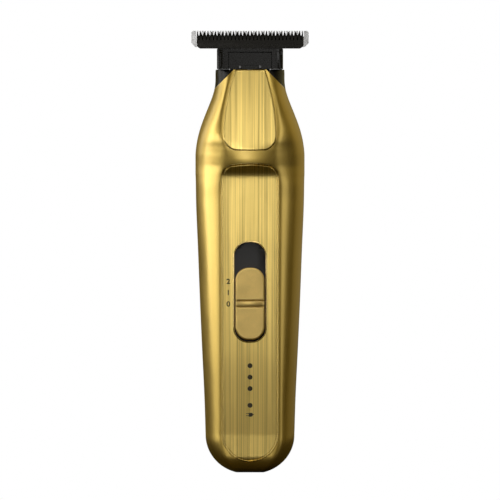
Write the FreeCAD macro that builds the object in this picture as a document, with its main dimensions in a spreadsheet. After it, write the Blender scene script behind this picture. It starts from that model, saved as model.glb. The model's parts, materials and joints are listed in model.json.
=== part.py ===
import FreeCAD, Part
import math
import os
import re
import Sketcher
from types import SimpleNamespace
from FreeCAD import Placement, Rotation, Vector

# A cordless trimmer with a T-shaped blade, standing upright on its small foot.
# Millimetres. Z runs along the body, the front with the switch faces -Y, X runs across.

SIZES = {
    # the body's outside
    "shoulder_height": 117.4,
    "head_height": 34.0,
    "base_half_width": 16.7,
    "shoulder_half_width": 20.5,
    "neck_half_width": 12.9,
    "foot_half_width": 5.05,
    "foot_flat": 1.5,
    "cap_height": 14.1,
    "front_depth": 15.5,
    "front_bow": 0.9,
    "front_round": 6.0,
    "face_drop": 0.5,
    "grip_drop": 6.4,
    "bridge_depth": 18.2,
    "rear_depth": 18.65,
    "rear_growth": 3.3,
    "crown_front": 11.0,
    "crown_rear": 9.0,
    "foot_front": 8.5,
    "foot_rear": 8.0,
    "widest_y": 1.0,
    "band_half_width": 11.2,
    "band_margin": 0.9,
    "wall": 1.8,
    "floor_thickness": 2.2,
    "seam_y": 2.0,
    "seam_gap": 0.12,
    "lip_height": 1.5,
    "corner_start": 6.0,
    "corner_height": 12.0,
    "fit_gap": 0.12,
    # the front panel and the plate above it
    "panel_half_width": 10.8,
    "panel_bottom": 3.9,
    "panel_top_drop": 1.0,
    "panel_corner": 4.6,
    "panel_arch": 0.6,
    "panel_thickness": 1.0,
    "panel_backing": 1.5,
    "groove_inset": 0.55,
    "groove_width": 0.4,
    "groove_depth": 0.3,
    "plate_rise": 3.6,
    "plate_half_width": 10.0,
    "plate_top_half_width": 5.6,
    "plate_corner": 5.3,
    "plate_straight": 0.5,
    "plate_thickness": 1.2,
    "plate_proud": 0.45,
    # the slide switch
    "slot_bottom": 49.1,
    "slot_height": 37.4,
    "slot_width": 11.85,
    "slot_corner": 4.0,
    "slot_depth": 1.5,
    "bed_thickness": 1.2,
    "knob_width": 10.8,
    "knob_height": 27.2,
    "knob_start": 0.7,
    "knob_corner": 3.9,
    "knob_proud": 1.7,
    "knob_chamfer": 0.6,
    "thumb_groove_rise": 13.5,
    "thumb_groove_height": 2.8,
    "thumb_groove_depth": 0.9,
    "thumb_ridge_height": 1.1,
    "thumb_ridge_margin": 0.9,
    "switch_travel": 8.6,
    "stem_width": 3.4,
    "stem_height": 6.0,
    "carrier_width": 9.0,
    "carrier_height": 14.0,
    "carrier_thickness": 1.2,
    # lights in the panel
    "lens_radius": 0.875,
    "lens_flange_radius": 1.5,
    "lens_low": 31.5,
    "lens_pitch": 4.3,
    "charge_lens_height": 25.2,
    "led_size": 1.6,
    "led_thickness": 0.6,
    # battery, board and chassis
    "cell_radius": 7.05,
    "cell_length": 50.0,
    "cell_bottom": 24.0,
    "cell_gap": 0.5,
    "chassis_half_width": 10.5,
    "chassis_thickness": 1.6,
    "chassis_bottom": 19.5,
    "chassis_end": 1.4,
    "tab_thickness": 0.3,
    "board_half_width": 9.5,
    "board_thickness": 1.2,
    "board_bottom": 21.0,
    "board_top": 84.0,
    "board_standoff": 0.8,
    # charging inlet
    "inlet_radius": 3.9,
    "inlet_length": 11.0,
    "inlet_bore_radius": 1.95,
    "inlet_bore_depth": 9.0,
    "inlet_pin_radius": 0.6,
    "inlet_sink": 0.3,
    "seal_width": 0.7,
    # motor
    "motor_drop": 24.9,
    "frame_height": 3.5,
    "frame_half_width": 12.6,
    "frame_foot": 6.0,
    "frame_foot_thickness": 2.0,
    "core_half_width": 10.5,
    "core_half_stack": 5.0,
    "core_height": 16.0,
    "core_leg": 3.6,
    "core_centre_leg": 3.2,
    "coil_wall": 2.6,
    "coil_height": 8.6,
    "bobbin_wall": 0.5,
    "air_gap": 0.4,
    "magnet_height": 2.4,
    "magnet_width": 8.0,
    "yoke_height": 3.0,
    "flexure_thickness": 0.3,
    "flexure_half_depth": 4.0,
    "stroke": 1.2,
    "arm_thickness": 2.0,
    "arm_half_width": 7.0,
    "pin_y": -5.0,
    "pin_radius": 1.1,
    "pin_reach": 4.2,
    # neck and blade block
    "collar_drop": 12.5,
    "block_gap": 0.2,
    "block_height": 7.5,
    "block_corner": 2.2,
    "block_front_step": 0.5,
    "block_rear_step": 0.4,
    "block_half_width": 12.45,
    "block_front_top": 6.8,
    "block_rear_top": 3.0,
    "tenon_half_width": 7.5,
    "tenon_front": 0.4,
    "tenon_rear": 4.6,
    "tenon_height": 5.5,
    "tenon_gap": 0.15,
    "clip_thickness": 0.35,
    "cover_half_width": 8.1,
    "cover_thickness": 0.8,
    "cover_sink": 0.35,
    "cover_drop": 1.1,
    "peg_radius": 0.5,
    "peg_spacing": 7.6,
    "peg_rise": 0.9,
    "contact_y": -1.5,
    "blade_gap": 0.02,
    "fixed_half_width": 22.05,
    "fixed_thickness": 2.4,
    "fixed_bar_rise": 8.5,
    "tip_rise": 14.6,
    "fixed_stem_half_width": 11.2,
    "fixed_pitch": 0.96,
    "fixed_gap_width": 0.36,
    "fixed_tooth_depth": 2.1,
    "cutter_half_width": 20.0,
    "cutter_thickness": 1.7,
    "cutter_bar_rise": 7.9,
    "cutter_tip_rise": 14.3,
    "cutter_pitch": 1.372,
    "cutter_gap_width": 0.72,
    "cutter_gap_floor": 0.4,
    "cutter_tooth_depth": 1.9,
    "cutter_stem_half_width": 5.5,
    "stem_rise": 1.6,
    "bevel_rise": 10.6,
    "bevel_depth": 0.5,
    "follower_half_width": 3.4,
    "follower_depth": 3.0,
    "pin_clearance": 0.04,
    # fasteners
    "screw_radius": 0.9,
    "screw_head_radius": 1.7,
    "screw_head_height": 1.1,
    "boss_radius": 2.3,
    "screw_clearance": 0.15,
    "lower_screw_gap": 5.5,
    "upper_screw_x": 10.0,
    "upper_screw_rise": 13.0,
    "motor_screw_x": 6.0,
    "board_screw_x": 6.5,
    "board_screw_drop": 3.0,
    "blade_screw_x": 9.2,
    "blade_screw_rise": 2.4,
}
CUTTER_TEETH = 29
FIXED_GAPS = 43
# longer than anything in the model, for the blanks that trim it
FAR = 100.0

# heights that are the sum of several sizes
HEIGHTS = {
    "body_height": ("shoulder_height", "head_height"),
    "block_bottom": ("shoulder_height", "head_height", "block_gap"),
    "block_top": ("shoulder_height", "head_height", "block_gap", "block_height"),
    "fixed_bar_bottom": ("shoulder_height", "head_height", "fixed_bar_rise"),
    "tip_height": ("shoulder_height", "head_height", "tip_rise"),
    "cutter_bar_bottom": ("shoulder_height", "head_height", "cutter_bar_rise"),
    "cutter_tip": ("shoulder_height", "head_height", "cutter_tip_rise"),
    "stem_bottom": ("shoulder_height", "head_height", "stem_rise"),
    "bevel_height": ("shoulder_height", "head_height", "bevel_rise"),
}

doc = FreeCAD.newDocument("trimmer")
sheet = doc.addObject("Spreadsheet::Sheet", "Sizes")
for row, (alias, value) in enumerate(SIZES.items(), start=1):
    sheet.set(f"A{row}", alias)
    sheet.set(f"B{row}", str(value))
    sheet.setAlias(f"B{row}", alias)
doc.recompute()
v = SimpleNamespace(**{alias: float(sheet.get(alias)) for alias in SIZES})
for height, parts in HEIGHTS.items():
    setattr(v, height, sum(getattr(v, part) for part in parts))
nodes = []


# ---- helpers -------------------------------------------------------------------------------

def bound(formula):
    """The formula with heights spelt out and every size's name pointing at the sheet."""
    for height, parts in HEIGHTS.items():
        formula = re.sub(rf"\b{height}\b", f"({' + '.join(parts)})", formula)
    return re.sub(r"[a-z]\w*", r"Sizes.\g<0>", formula)


def node(label, item):
    """Marks item as a finished piece."""
    item.Label = label
    nodes.append(item)
    return item


def block(name, x, y, z):
    """A box between the pairs of formulas x, y and z."""
    item = doc.addObject("Part::Box", name)
    for side, place, (low, high) in (("Length", "x", x), ("Width", "y", y), ("Height", "z", z)):
        item.setExpression(side, bound(f"({high}) - ({low})"))
        item.setExpression(f"Placement.Base.{place}", bound(low))
    return item


def rod(name, start, radius, length, axis=Vector(0, 0, 1)):
    """A cylinder from the point start, three formulas, along axis."""
    item = doc.addObject("Part::Cylinder", name)
    item.Placement = Placement(Vector(), Rotation(Vector(0, 0, 1), axis))
    item.setExpression("Radius", bound(radius))
    item.setExpression("Height", bound(length))
    for place, formula in zip("xyz", start):
        item.setExpression(f"Placement.Base.{place}", bound(formula))
    return item


def fuse(name, *pieces):
    item = doc.addObject("Part::MultiFuse", name)
    item.Shapes = list(pieces)
    return item


def cut(name, base, *tools):
    item = doc.addObject("Part::Cut", name)
    item.Base = base
    item.Tool = tools[0] if len(tools) == 1 else fuse(f"{name}_tools", *tools)
    return item


def feature(name, shape):
    item = doc.addObject("Part::Feature", name)
    item.Shape = shape
    return item


def mirrored(name, item):
    """item and its mirror image across X, as one group of separate solids."""
    twin = doc.addObject("Part::Mirroring", f"{name}_twin")
    twin.Source = item
    twin.Normal = Vector(1, 0, 0)
    return fuse(name, item, twin)


def sketch_on(body, role, offset="0"):
    """A sketch on the body's own origin plane, moved along that plane's normal."""
    plane = next(o for o in body.Origin.OriginFeatures if o.Role == role)
    sketch = body.newObject("Sketcher::SketchObject", f"{body.Name}_sketch")
    sketch.AttachmentSupport = (plane, [""])
    sketch.MapMode = "FlatFace"
    sketch.setExpression("AttachmentOffset.Base.z", bound(offset))
    return sketch


def outline(sketch, corners):
    """A closed outline of straight lines, each corner held by two formulas."""
    places = [[float(sheet.evalExpression(bound(f))) for f in corner] for corner in corners]
    first = sketch.GeometryCount
    for here, there in zip(places, places[1:] + places[:1]):
        sketch.addGeometry(Part.LineSegment(Vector(*here, 0), Vector(*there, 0)))
    for step, (corner, place) in enumerate(zip(corners, places)):
        line = first + step
        before = first + (step - 1) % len(corners)
        sketch.addConstraint(Sketcher.Constraint("Coincident", before, 2, line, 1))
        for kind, formula, value in zip(("DistanceX", "DistanceY"), corner, place):
            index = sketch.addConstraint(Sketcher.Constraint(kind, -1, 1, line, 1, value))
            sketch.setExpression(f"Constraints[{index}]", bound(formula))


def pad(body, sketch, length):
    item = body.newObject("PartDesign::Pad", f"{body.Name}_pad")
    item.Profile = sketch
    item.setExpression("Length", bound(length))
    doc.recompute()
    return item


def pocket(body, sketch, name="pocket"):
    """Cuts the sketch right through the body, both ways."""
    item = body.newObject("PartDesign::Pocket", f"{body.Name}_{name}")
    item.Profile = sketch
    item.Type = "ThroughAll"
    item.Midplane = True
    doc.recompute()
    return item


def edges_where(shape, test):
    return [f"Edge{i}" for i, edge in enumerate(shape.Edges, start=1) if test(edge)]


def dress(body, kind, base, test, size_name, formula):
    """A PartDesign fillet or chamfer on the edges of base that pass the test."""
    item = body.newObject(f"PartDesign::{kind}", f"{body.Name}_{kind.lower()}")
    item.Base = (base, edges_where(base.Shape, test))
    item.setExpression(size_name, bound(formula))
    doc.recompute()
    return item


# ---- the body's outer form -----------------------------------------------------------------

# share of the way up the grip, then shares of the growth in width and depth, and the front's bow
GRIP = ((0.14, 0.11, 0.22, 0.5), (0.33, 0.34, 0.5, 0.1), (0.52, 0.555, 0.72, 0.0),
        (0.72, 0.75, 0.9, 0.05), (0.91, 0.945, 1.0, 0.35), (1.0, 0.985, 1.0, 0.5))
# height below the shoulder, and share of the way from the panel's face out to the bridge
SCOOP = ((5.2, 0.05), (3.9, 0.22), (2.6, 0.5), (1.2, 0.8), (0.0, 0.95))
# share of the head's height, then shares of the width and rear depth that are left
HEAD = ((0.053, 1.0, 1.0), (0.107, 0.985, 0.98), (0.2, 0.93, 0.92), (0.3, 0.83, 0.83),
        (0.4, 0.69, 0.73), (0.5, 0.52, 0.62), (0.6, 0.34, 0.51), (0.7, 0.17, 0.4),
        (0.8, 0.05, 0.27), (0.9, 0.01, 0.14), (1.0, 0.0, 0.0))
CAP_STEPS = 7
SECTION_STEPS = 7
CREASE = math.radians(15)
LOFT_DEGREE = 8


def cap_station(step):
    """Half-width, front and rear of the rounded lower end, at one step up it."""
    reach = v.base_half_width - v.foot_flat
    lowest = math.asin((v.foot_half_width - v.foot_flat) / reach)
    angle = lowest + (math.pi / 2 - lowest) * step / CAP_STEPS
    full = v.cap_height / math.cos(lowest)
    height = v.cap_height - full * math.cos(angle)
    front = v.front_depth - v.front_bow
    if height < v.front_round:
        drop = 1 - math.sqrt(1 - ((v.front_round - height) / v.front_round) ** 2)
        front -= (front - v.foot_front) * drop
    rear_base = v.rear_depth - v.rear_growth
    drop = 1 - math.sqrt(1 - ((v.cap_height - height) / v.cap_height) ** 2)
    rear = rear_base - (rear_base - v.foot_rear) * drop
    return height, v.foot_flat + reach * math.sin(angle), front, rear


def stations():
    """Height, half-width, front depth and rear depth of each section, from the foot up."""
    rows = [cap_station(step) for step in range(CAP_STEPS + 1)]
    grip_top = v.shoulder_height - v.grip_drop
    grip = grip_top - v.cap_height
    growth = v.shoulder_half_width - v.base_half_width
    for along, width, rear, bow in GRIP:
        rows.append((v.cap_height + grip * along, v.base_half_width + growth * width,
                     v.front_depth - bow,
                     v.rear_depth - v.rear_growth * (1 - rear)))
    face = v.front_depth - v.face_drop
    for drop, share in SCOOP:
        rows.append((v.shoulder_height - drop, v.shoulder_half_width,
                     face + (v.bridge_depth - face) * share, v.rear_depth))
    for along, width, rear in HEAD:
        lean = max(0.0, (along - 0.107) / (1 - 0.107))
        rows.append((v.shoulder_height + v.head_height * along,
                     v.neck_half_width + (v.shoulder_half_width - v.neck_half_width) * width,
                     v.bridge_depth - (v.bridge_depth - v.crown_front) * lean,
                     v.crown_rear + (v.rear_depth - v.crown_rear) * rear))
    return rows


def plate_half(height):
    """Half-width of the plate at a height on the head."""
    widest = v.shoulder_height + v.plate_rise + v.plate_corner + v.plate_straight
    along = max(0.0, (height - widest) / (v.body_height - widest))
    return v.plate_half_width - (v.plate_half_width - v.plate_top_half_width) * along ** 1.9


def band_half(height, width):
    """Half-width of the flat front band, just wider than the panel or plate on it."""
    if height < v.cap_height:
        return min(v.band_half_width, width * 0.68)
    if height < v.shoulder_height:
        return v.band_half_width
    return min(v.band_half_width, plate_half(height) + v.band_margin)


def section(height, width, front, rear, inset):
    """A closed wire: a straight front edge, and one smooth curve round the sides and back."""
    band = band_half(height, width) - 0.45 * inset
    width, front, rear = width - inset, front - inset, rear - inset
    side = v.widest_y
    right = []
    for step in range(SECTION_STEPS + 1):
        angle = CREASE + (math.pi / 2 - CREASE) * step / SECTION_STEPS
        out = (math.sin(angle) - math.sin(CREASE)) / (1 - math.sin(CREASE))
        right.append(Vector(band + (width - band) * out,
                            side - (side + front) * math.cos(angle) / math.cos(CREASE), height))
    for step in range(1, SECTION_STEPS + 1):
        angle = math.pi / 2 * step / SECTION_STEPS
        right.append(Vector(width * math.cos(angle) ** 0.87,
                            side + (rear - side) * math.sin(angle) ** 0.87, height))
    points = right + [Vector(-p.x, p.y, p.z) for p in reversed(right[:-1])]
    curve = Part.BSplineCurve()
    curve.interpolate(Points=points, Parameters=[float(i) for i in range(len(points))])
    front_edge = Part.LineSegment(points[-1], points[0])
    return Part.Wire([front_edge.toShape(), curve.toShape()])


def form(inset, low=None, high=None):
    """The body's form moved inwards by inset, between two heights."""
    wires = [section(*row, inset) for row in stations()]
    solid = Part.makeLoft(wires, True, False, False, LOFT_DEGREE)
    low = 0.0 if low is None else low
    high = v.body_height if high is None else high
    room = Part.makeBox(FAR, FAR, high - low, Vector(-FAR / 2, -FAR / 2, low))
    return solid.common(room)


def prism(wire, front=-30.0, back=-6.0):
    """The outline, drawn in the XZ plane, pushed through from front to back."""
    face = Part.Face(wire)
    face.translate(Vector(0, front, 0))
    return face.extrude(Vector(0, back - front, 0))


def panel_outline(inset=0.0):
    """Round lower end, straight sides and a slightly arched top."""
    half = v.panel_half_width
    top = v.shoulder_height - v.panel_top_drop
    centre = v.panel_bottom + half
    r = v.panel_corner
    k = r * (1 - math.sqrt(0.5))
    shoulder = top - v.panel_arch

    def at(x, z):
        return Vector(x, 0, z)

    edges = [
        Part.Arc(at(-half, centre), at(0, v.panel_bottom), at(half, centre)),
        Part.LineSegment(at(half, centre), at(half, shoulder - r)),
        Part.Arc(at(half, shoulder - r), at(half - k, shoulder - k), at(half - r, shoulder)),
        Part.Arc(at(half - r, shoulder), at(0, top), at(r - half, shoulder)),
        Part.Arc(at(r - half, shoulder), at(k - half, shoulder - k), at(-half, shoulder - r)),
        Part.LineSegment(at(-half, shoulder - r), at(-half, centre)),
    ]
    wire = Part.Wire([edge.toShape() for edge in edges])
    return wire.makeOffset2D(-inset) if inset else wire


def plate_outline(grow=0.0):
    """Straight top, sides that widen downwards, and rounded lower corners."""
    low = v.shoulder_height + v.plate_rise - grow
    high = v.body_height + grow
    r = v.plate_corner + grow
    k = r * (1 - math.sqrt(0.5))
    half = v.plate_half_width + grow
    side_low = low + r + v.plate_straight
    heights = [side_low + (high - side_low) * step / 5 for step in range(6)]
    right = Part.BSplineCurve()
    right.interpolate([Vector(plate_half(z) + grow, 0, z) for z in heights])
    left = Part.BSplineCurve()
    left.interpolate([Vector(-plate_half(z) - grow, 0, z) for z in reversed(heights)])
    top = plate_half(high) + grow

    def at(x, z):
        return Vector(x, 0, z)

    edges = [
        Part.LineSegment(at(r - half, low), at(half - r, low)),
        Part.Arc(at(half - r, low), at(half - k, low + k), at(half, low + r)),
        Part.LineSegment(at(half, low + r), at(half, side_low)),
        right,
        Part.LineSegment(at(top, high), at(-top, high)),
        left,
        Part.LineSegment(at(-half, side_low), at(-half, low + r)),
        Part.Arc(at(-half, low + r), at(k - half, low + k), at(r - half, low)),
    ]
    return Part.Wire([edge.toShape() for edge in edges])


def slot_outline(grow=0.0):
    """The switch opening's rounded rectangle."""
    return rounded(v.slot_width / 2, v.slot_bottom, v.slot_bottom + v.slot_height,
                   v.slot_corner, grow)


def rounded(half, low, high, corner, grow=0.0):
    half, low, high, corner = half + grow, low - grow, high + grow, corner + grow
    k = corner * (1 - math.sqrt(0.5))
    edges = []
    for sx, z, sz in ((1, low, 1), (1, high, -1), (-1, high, -1), (-1, low, 1)):
        ends = [Vector(sx * (half - corner), 0, z), Vector(sx * half, 0, z + sz * corner)]
        if sx * sz < 0:
            ends.reverse()
        middle = Vector(sx * (half - k), 0, z + sz * k)
        edges.append(Part.Arc(ends[0], middle, ends[1]).toShape())
    joined = []
    for here, there in zip(edges, edges[1:] + edges[:1]):
        joined.append(here)
        joined.append(Part.LineSegment(here.lastVertex().Point, there.firstVertex().Point).toShape())
    return Part.Wire(joined)


outer = form(0.0)


def skin(wire, rise, depth):
    """The layer of the front face inside the outline, from rise outside it to depth below it."""
    lifted = outer.copy()
    lifted.translate(Vector(0, -rise, 0))
    sunk = outer.copy()
    sunk.translate(Vector(0, depth, 0))
    return lifted.common(prism(wire)).cut(sunk)


def beyond(step):
    """Everything past the two slanting lines that cut the head's corners, moved out by step."""
    low = v.body_height - v.corner_height
    wedges = []
    for side in (1, -1):
        start = v.corner_start + step
        corners = [Vector(side * start, -FAR / 2, v.body_height + 0.01),
                   Vector(side * (start + v.corner_height + 0.01), -FAR / 2, low),
                   Vector(side * FAR / 2, -FAR / 2, low),
                   Vector(side * FAR / 2, -FAR / 2, v.body_height + 0.01)]
        face = Part.Face(Part.makePolygon(corners + corners[:1]))
        wedges.append(face.extrude(Vector(0, FAR, 0)))
    return wedges[0].fuse(wedges[1])


def half_space(low, high):
    """A slab of the model between two values of y."""
    return Part.makeBox(FAR, high - low, 3 * FAR, Vector(-FAR / 2, low, -FAR / 2))


def tube_y(x, z, radius, low, high):
    """A round bar along Y."""
    return Part.makeCylinder(radius, high - low, Vector(x, low, z), Vector(0, 1, 0))


# ---- places worked out from the sizes ------------------------------------------------------

def depth_at(height):
    """Front and rear depth of the body's form at a height."""
    rows = stations()
    for lower, upper in zip(rows, rows[1:]):
        if lower[0] <= height <= upper[0]:
            share = (height - lower[0]) / (upper[0] - lower[0])
            return [lower[i] + (upper[i] - lower[i]) * share for i in (2, 3)]
    return rows[-1][2:4]


cell_top = v.cell_bottom + v.cell_length
rear_room = min(depth_at(v.cell_bottom)[1], depth_at(cell_top)[1]) - v.wall
cell_y = rear_room - v.cell_gap - v.cell_radius
chassis_back = cell_y - v.cell_radius - 0.2
chassis_front = chassis_back - v.chassis_thickness
board_back = chassis_front - v.board_standoff
board_front = board_back - v.board_thickness
motor_low = v.shoulder_height - v.motor_drop
knob_low = v.slot_bottom + v.knob_start
knob_high = knob_low + v.knob_height
slot_high = v.slot_bottom + v.slot_height
knob_middle = knob_low + v.knob_height * 0.45
stem_low = knob_middle - v.stem_height / 2
screw_places = [(0.0, v.inlet_length + v.lower_screw_gap)]
screw_places += [(side * v.upper_screw_x, v.shoulder_height + v.upper_screw_rise)
                 for side in (-1, 1)]
motor_screws = [(side * v.motor_screw_x, motor_low - v.frame_foot / 2) for side in (-1, 1)]
board_screws = [(side * v.board_screw_x, v.board_top - v.board_screw_drop) for side in (-1, 1)]
blade_screws = [(side * v.blade_screw_x, v.stem_bottom + v.blade_screw_rise) for side in (-1, 1)]
lens_places = [(0.0, v.lens_low + v.lens_pitch * i) for i in range(3)]
lens_places.append((0.0, v.charge_lens_height))


def front_at(height):
    return -depth_at(height)[0]


def wall_inside(height):
    """The inner face of the wall behind the front panel at a height."""
    return front_at(height) + v.panel_thickness + v.fit_gap + v.panel_backing


# ---- housings ------------------------------------------------------------------------------

lip_inset = v.wall * 0.55
cavity = form(v.wall, v.floor_thickness)
lip_outside = form(lip_inset + 0.05, v.floor_thickness * 0.6)
lip_room = form(lip_inset - 0.05, v.floor_thickness * 0.5)
head_cut = beyond(0.0)
inlet_hole = Part.makeCylinder(v.inlet_radius + v.fit_gap, v.inlet_length + 4,
                               Vector(0, 0, -1))
backing = skin(panel_outline(-1.2), -v.panel_thickness / 2,
               v.panel_thickness + v.fit_gap + v.panel_backing)
shell = outer.cut(cavity).fuse(backing).removeSplitter()
shell = shell.cut(head_cut).cut(inlet_hole)

# front half: everything before the seam, and a lip that reaches into the rear half
front_half = shell.common(half_space(-FAR, v.seam_y - v.seam_gap / 2))
lip = lip_outside.cut(cavity).common(half_space(v.seam_y - 1.0, v.seam_y + v.lip_height))
lip = lip.cut(head_cut).cut(inlet_hole)
front = front_half.fuse(lip)
for x, z in screw_places:
    start = front_at(z) + v.wall * 0.6
    post = tube_y(x, z, v.boss_radius, start, v.seam_y + 1.0).common(outer)
    front = front.fuse(post)
    front = front.cut(tube_y(x, z, v.screw_radius, v.seam_y - 8, v.seam_y + 1.1))
for x, z in motor_screws:
    post = tube_y(x, z, v.boss_radius, wall_inside(z) - 0.5,
                  -v.core_half_stack - v.frame_foot_thickness)
    front = front.fuse(post)
    front = front.cut(tube_y(x, z, v.screw_radius, wall_inside(z) + 1.0, 0))
for x, z in board_screws:
    post = tube_y(x, z, v.boss_radius, wall_inside(z) - 0.5, board_front)
    front = front.fuse(post)
    front = front.cut(tube_y(x, z, v.screw_radius, wall_inside(z) + 1.0, board_front + 1))
front = front.cut(skin(panel_outline(-v.fit_gap), 0.5, v.panel_thickness + v.fit_gap))
plate_sink = v.plate_thickness - v.plate_proud + v.fit_gap
front = front.cut(skin(plate_outline(v.fit_gap), 0.9, plate_sink))
bed_sink = v.slot_depth + v.bed_thickness + v.fit_gap
front = front.cut(skin(slot_outline(0.6 + v.fit_gap), 0.5, bed_sink))
for x, z in lens_places:
    front = front.cut(tube_y(x, z, v.lens_radius + v.fit_gap, -30, wall_inside(z) + 1))
stem_window = Part.makeBox(v.stem_width + 1.0, 20, v.stem_height + v.switch_travel + 1.0,
                           Vector(-v.stem_width / 2 - 0.5, -25, stem_low - 0.5))
front = front.cut(stem_window)
node("front_housing", feature("front_housing", front))

# rear half, with a rebate for the lip and holes for the screws
rear = shell.common(half_space(v.seam_y + v.seam_gap / 2, FAR))
rebate = lip_room.cut(cavity).common(half_space(v.seam_y - 0.5, v.seam_y + v.lip_height + 0.1))
rear = rear.cut(rebate)
screw_ends = []
for x, z in screw_places:
    rear_face = depth_at(z)[1] * (1.0 if x == 0 else 0.78)
    head_seat = rear_face - 2.6
    screw_ends.append(head_seat)
    post = tube_y(x, z, v.boss_radius + 0.6, v.seam_y + 1.2, rear_face + 3).common(outer)
    rear = rear.fuse(post)
    rear = rear.cut(tube_y(x, z, v.screw_radius + v.screw_clearance, v.seam_y, rear_face + 4))
    rear = rear.cut(tube_y(x, z, v.screw_head_radius + v.screw_clearance, head_seat,
                           rear_face + 6))
node("rear_housing", feature("rear_housing", rear))


def screw_group(label, places, seats, tips):
    """Pan-head screws that point forwards, from the seats under their heads to their tips."""
    made = []
    for (x, z), seat, tip in zip(places, seats, tips):
        head = tube_y(x, z, v.screw_head_radius, seat, seat + v.screw_head_height)
        shank = tube_y(x, z, v.screw_radius - 0.02, tip, seat)
        slot_y = seat + v.screw_head_height - 0.5
        cross = Part.makeBox(2.0, 0.5, 0.45, Vector(x - 1.0, slot_y, z - 0.225))
        cross = cross.fuse(Part.makeBox(0.45, 0.5, 2.0, Vector(x - 0.225, slot_y, z - 1.0)))
        made.append(head.fuse(shank).removeSplitter().cut(cross))
    return node(label, feature(label, Part.makeCompound(made)))


screw_group("housing_screws", screw_places, screw_ends, [v.seam_y - 6.0] * 3)

# ---- panel, plate, lenses ------------------------------------------------------------------

panel = skin(panel_outline(), 0.0, v.panel_thickness)
groove = skin(panel_outline(v.groove_inset), 0.5, v.groove_depth)
groove = groove.cut(prism(panel_outline(v.groove_inset + v.groove_width)))
panel = panel.cut(groove).cut(prism(slot_outline()))
for x, z in lens_places:
    panel = panel.cut(tube_y(x, z, v.lens_radius + 0.05, -30, 0))
node("front_panel", feature("front_panel", panel))

plate = skin(plate_outline(), v.plate_proud, v.plate_thickness - v.plate_proud)
node("top_face_plate", feature("top_face_plate", plate))


def lens(x, z):
    """A light guide: a thin rod through the panel with a flange behind the wall."""
    inside = wall_inside(z) + 0.1
    pipe = tube_y(x, z, v.lens_radius, front_at(z) + 0.15, inside + 0.2)
    flange = tube_y(x, z, v.lens_flange_radius, inside, inside + 1.0)
    return pipe.fuse(flange).removeSplitter()


lenses = [lens(x, z) for x, z in lens_places]
node("battery_level_lenses", feature("battery_level_lenses", Part.makeCompound(lenses[:3])))
node("charging_lens", feature("charging_lens", lenses[3]))

# ---- slide switch --------------------------------------------------------------------------

bed = skin(slot_outline(0.6), 0.0, v.slot_depth + v.bed_thickness)
bed = bed.cut(skin(slot_outline(5.0), 1.0, v.slot_depth)).cut(stem_window)
node("switch_bed", feature("switch_bed", bed))

slot_front = front_at((v.slot_bottom + slot_high) / 2)
bed_face = slot_front + v.slot_depth
knob_face = slot_front - v.knob_proud
knob_wire = rounded(v.knob_width / 2, knob_low, knob_high, v.knob_corner)
knob = prism(knob_wire, knob_face, bed_face - 0.12)
front_rim = [e for e in knob.Edges if e.BoundBox.YMax < knob_face + 0.01]
knob = knob.makeChamfer(v.knob_chamfer, front_rim)
groove_z = knob_low + v.thumb_groove_rise
groove_box = Part.makeBox(v.knob_width + 2, v.thumb_groove_depth + 1, v.thumb_groove_height,
                          Vector(-v.knob_width / 2 - 1, knob_face - 1,
                                 groove_z - v.thumb_groove_height / 2))
ridge_half = v.knob_width / 2 - v.thumb_ridge_margin
ridge = Part.makeBox(2 * ridge_half, v.thumb_groove_depth + 0.5, v.thumb_ridge_height,
                     Vector(-ridge_half, knob_face + 0.15, groove_z - v.thumb_ridge_height / 2))
knob = knob.cut(groove_box).fuse(ridge)
stem = Part.makeBox(v.stem_width, wall_inside(knob_middle) + 0.5 - (bed_face - 0.5),
                    v.stem_height, Vector(-v.stem_width / 2, bed_face - 0.5, stem_low))
knob = knob.fuse(stem).removeSplitter()
node("switch_knob", feature("switch_knob", knob))

carrier_y = wall_inside(knob_middle) + 0.2
carrier_low = knob_middle - v.carrier_height / 2
carrier = Part.makeBox(v.carrier_width, v.carrier_thickness, v.carrier_height,
                       Vector(-v.carrier_width / 2, carrier_y, carrier_low))
carrier = carrier.cut(Part.makeBox(v.stem_width + 0.02, 10, v.stem_height + 0.02,
                                   Vector(-v.stem_width / 2 - 0.01, carrier_y - 5,
                                          stem_low - 0.01)))
lever_front = board_front - 3.0
for side in (-1, 1):
    start = knob_middle + side * 1.1 if side > 0 else knob_middle - 2.1
    fork = Part.makeBox(3.0, lever_front + 0.9 - carrier_y, 1.0,
                        Vector(-v.stem_width / 2 - 3.2, carrier_y, start))
    carrier = carrier.fuse(fork)
node("switch_carrier", feature("switch_carrier", carrier.removeSplitter()))

lever_x = -v.stem_width / 2 - 1.7
case_low = knob_middle - 4.0
case = Part.makeBox(5.0, 1.9, v.switch_travel + 8.0, Vector(lever_x - 2.5, board_front - 1.9,
                                                           case_low))
lever_slot = Part.makeBox(2.2, 1.5, v.switch_travel + 3.0,
                          Vector(lever_x - 1.1, board_front - 2.0, knob_middle - 1.5))
node("slide_switch_case", feature("slide_switch_case", case.cut(lever_slot)))
lever = Part.makeBox(1.8, 2.3, 2.0, Vector(lever_x - 0.9, lever_front, knob_middle - 1.0))
node("slide_switch_lever", feature("slide_switch_lever", lever))

# the detent spring is a bent leaf between the wall and the carrier's back
leaf_y = carrier_y + v.carrier_thickness + 0.1
leaf = Part.makeBox(2.4, 0.25, v.carrier_height + v.switch_travel + 3.0,
                    Vector(v.stem_width / 2 + 0.3, leaf_y, carrier_low - 1.5))
anchor = Part.makeBox(2.4, board_front - leaf_y, 0.8,
                      Vector(v.stem_width / 2 + 0.3, leaf_y, carrier_low - 2.3))
node("detent_spring", feature("detent_spring", leaf.fuse(anchor).removeSplitter()))

# ---- chassis, battery, board ---------------------------------------------------------------

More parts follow.
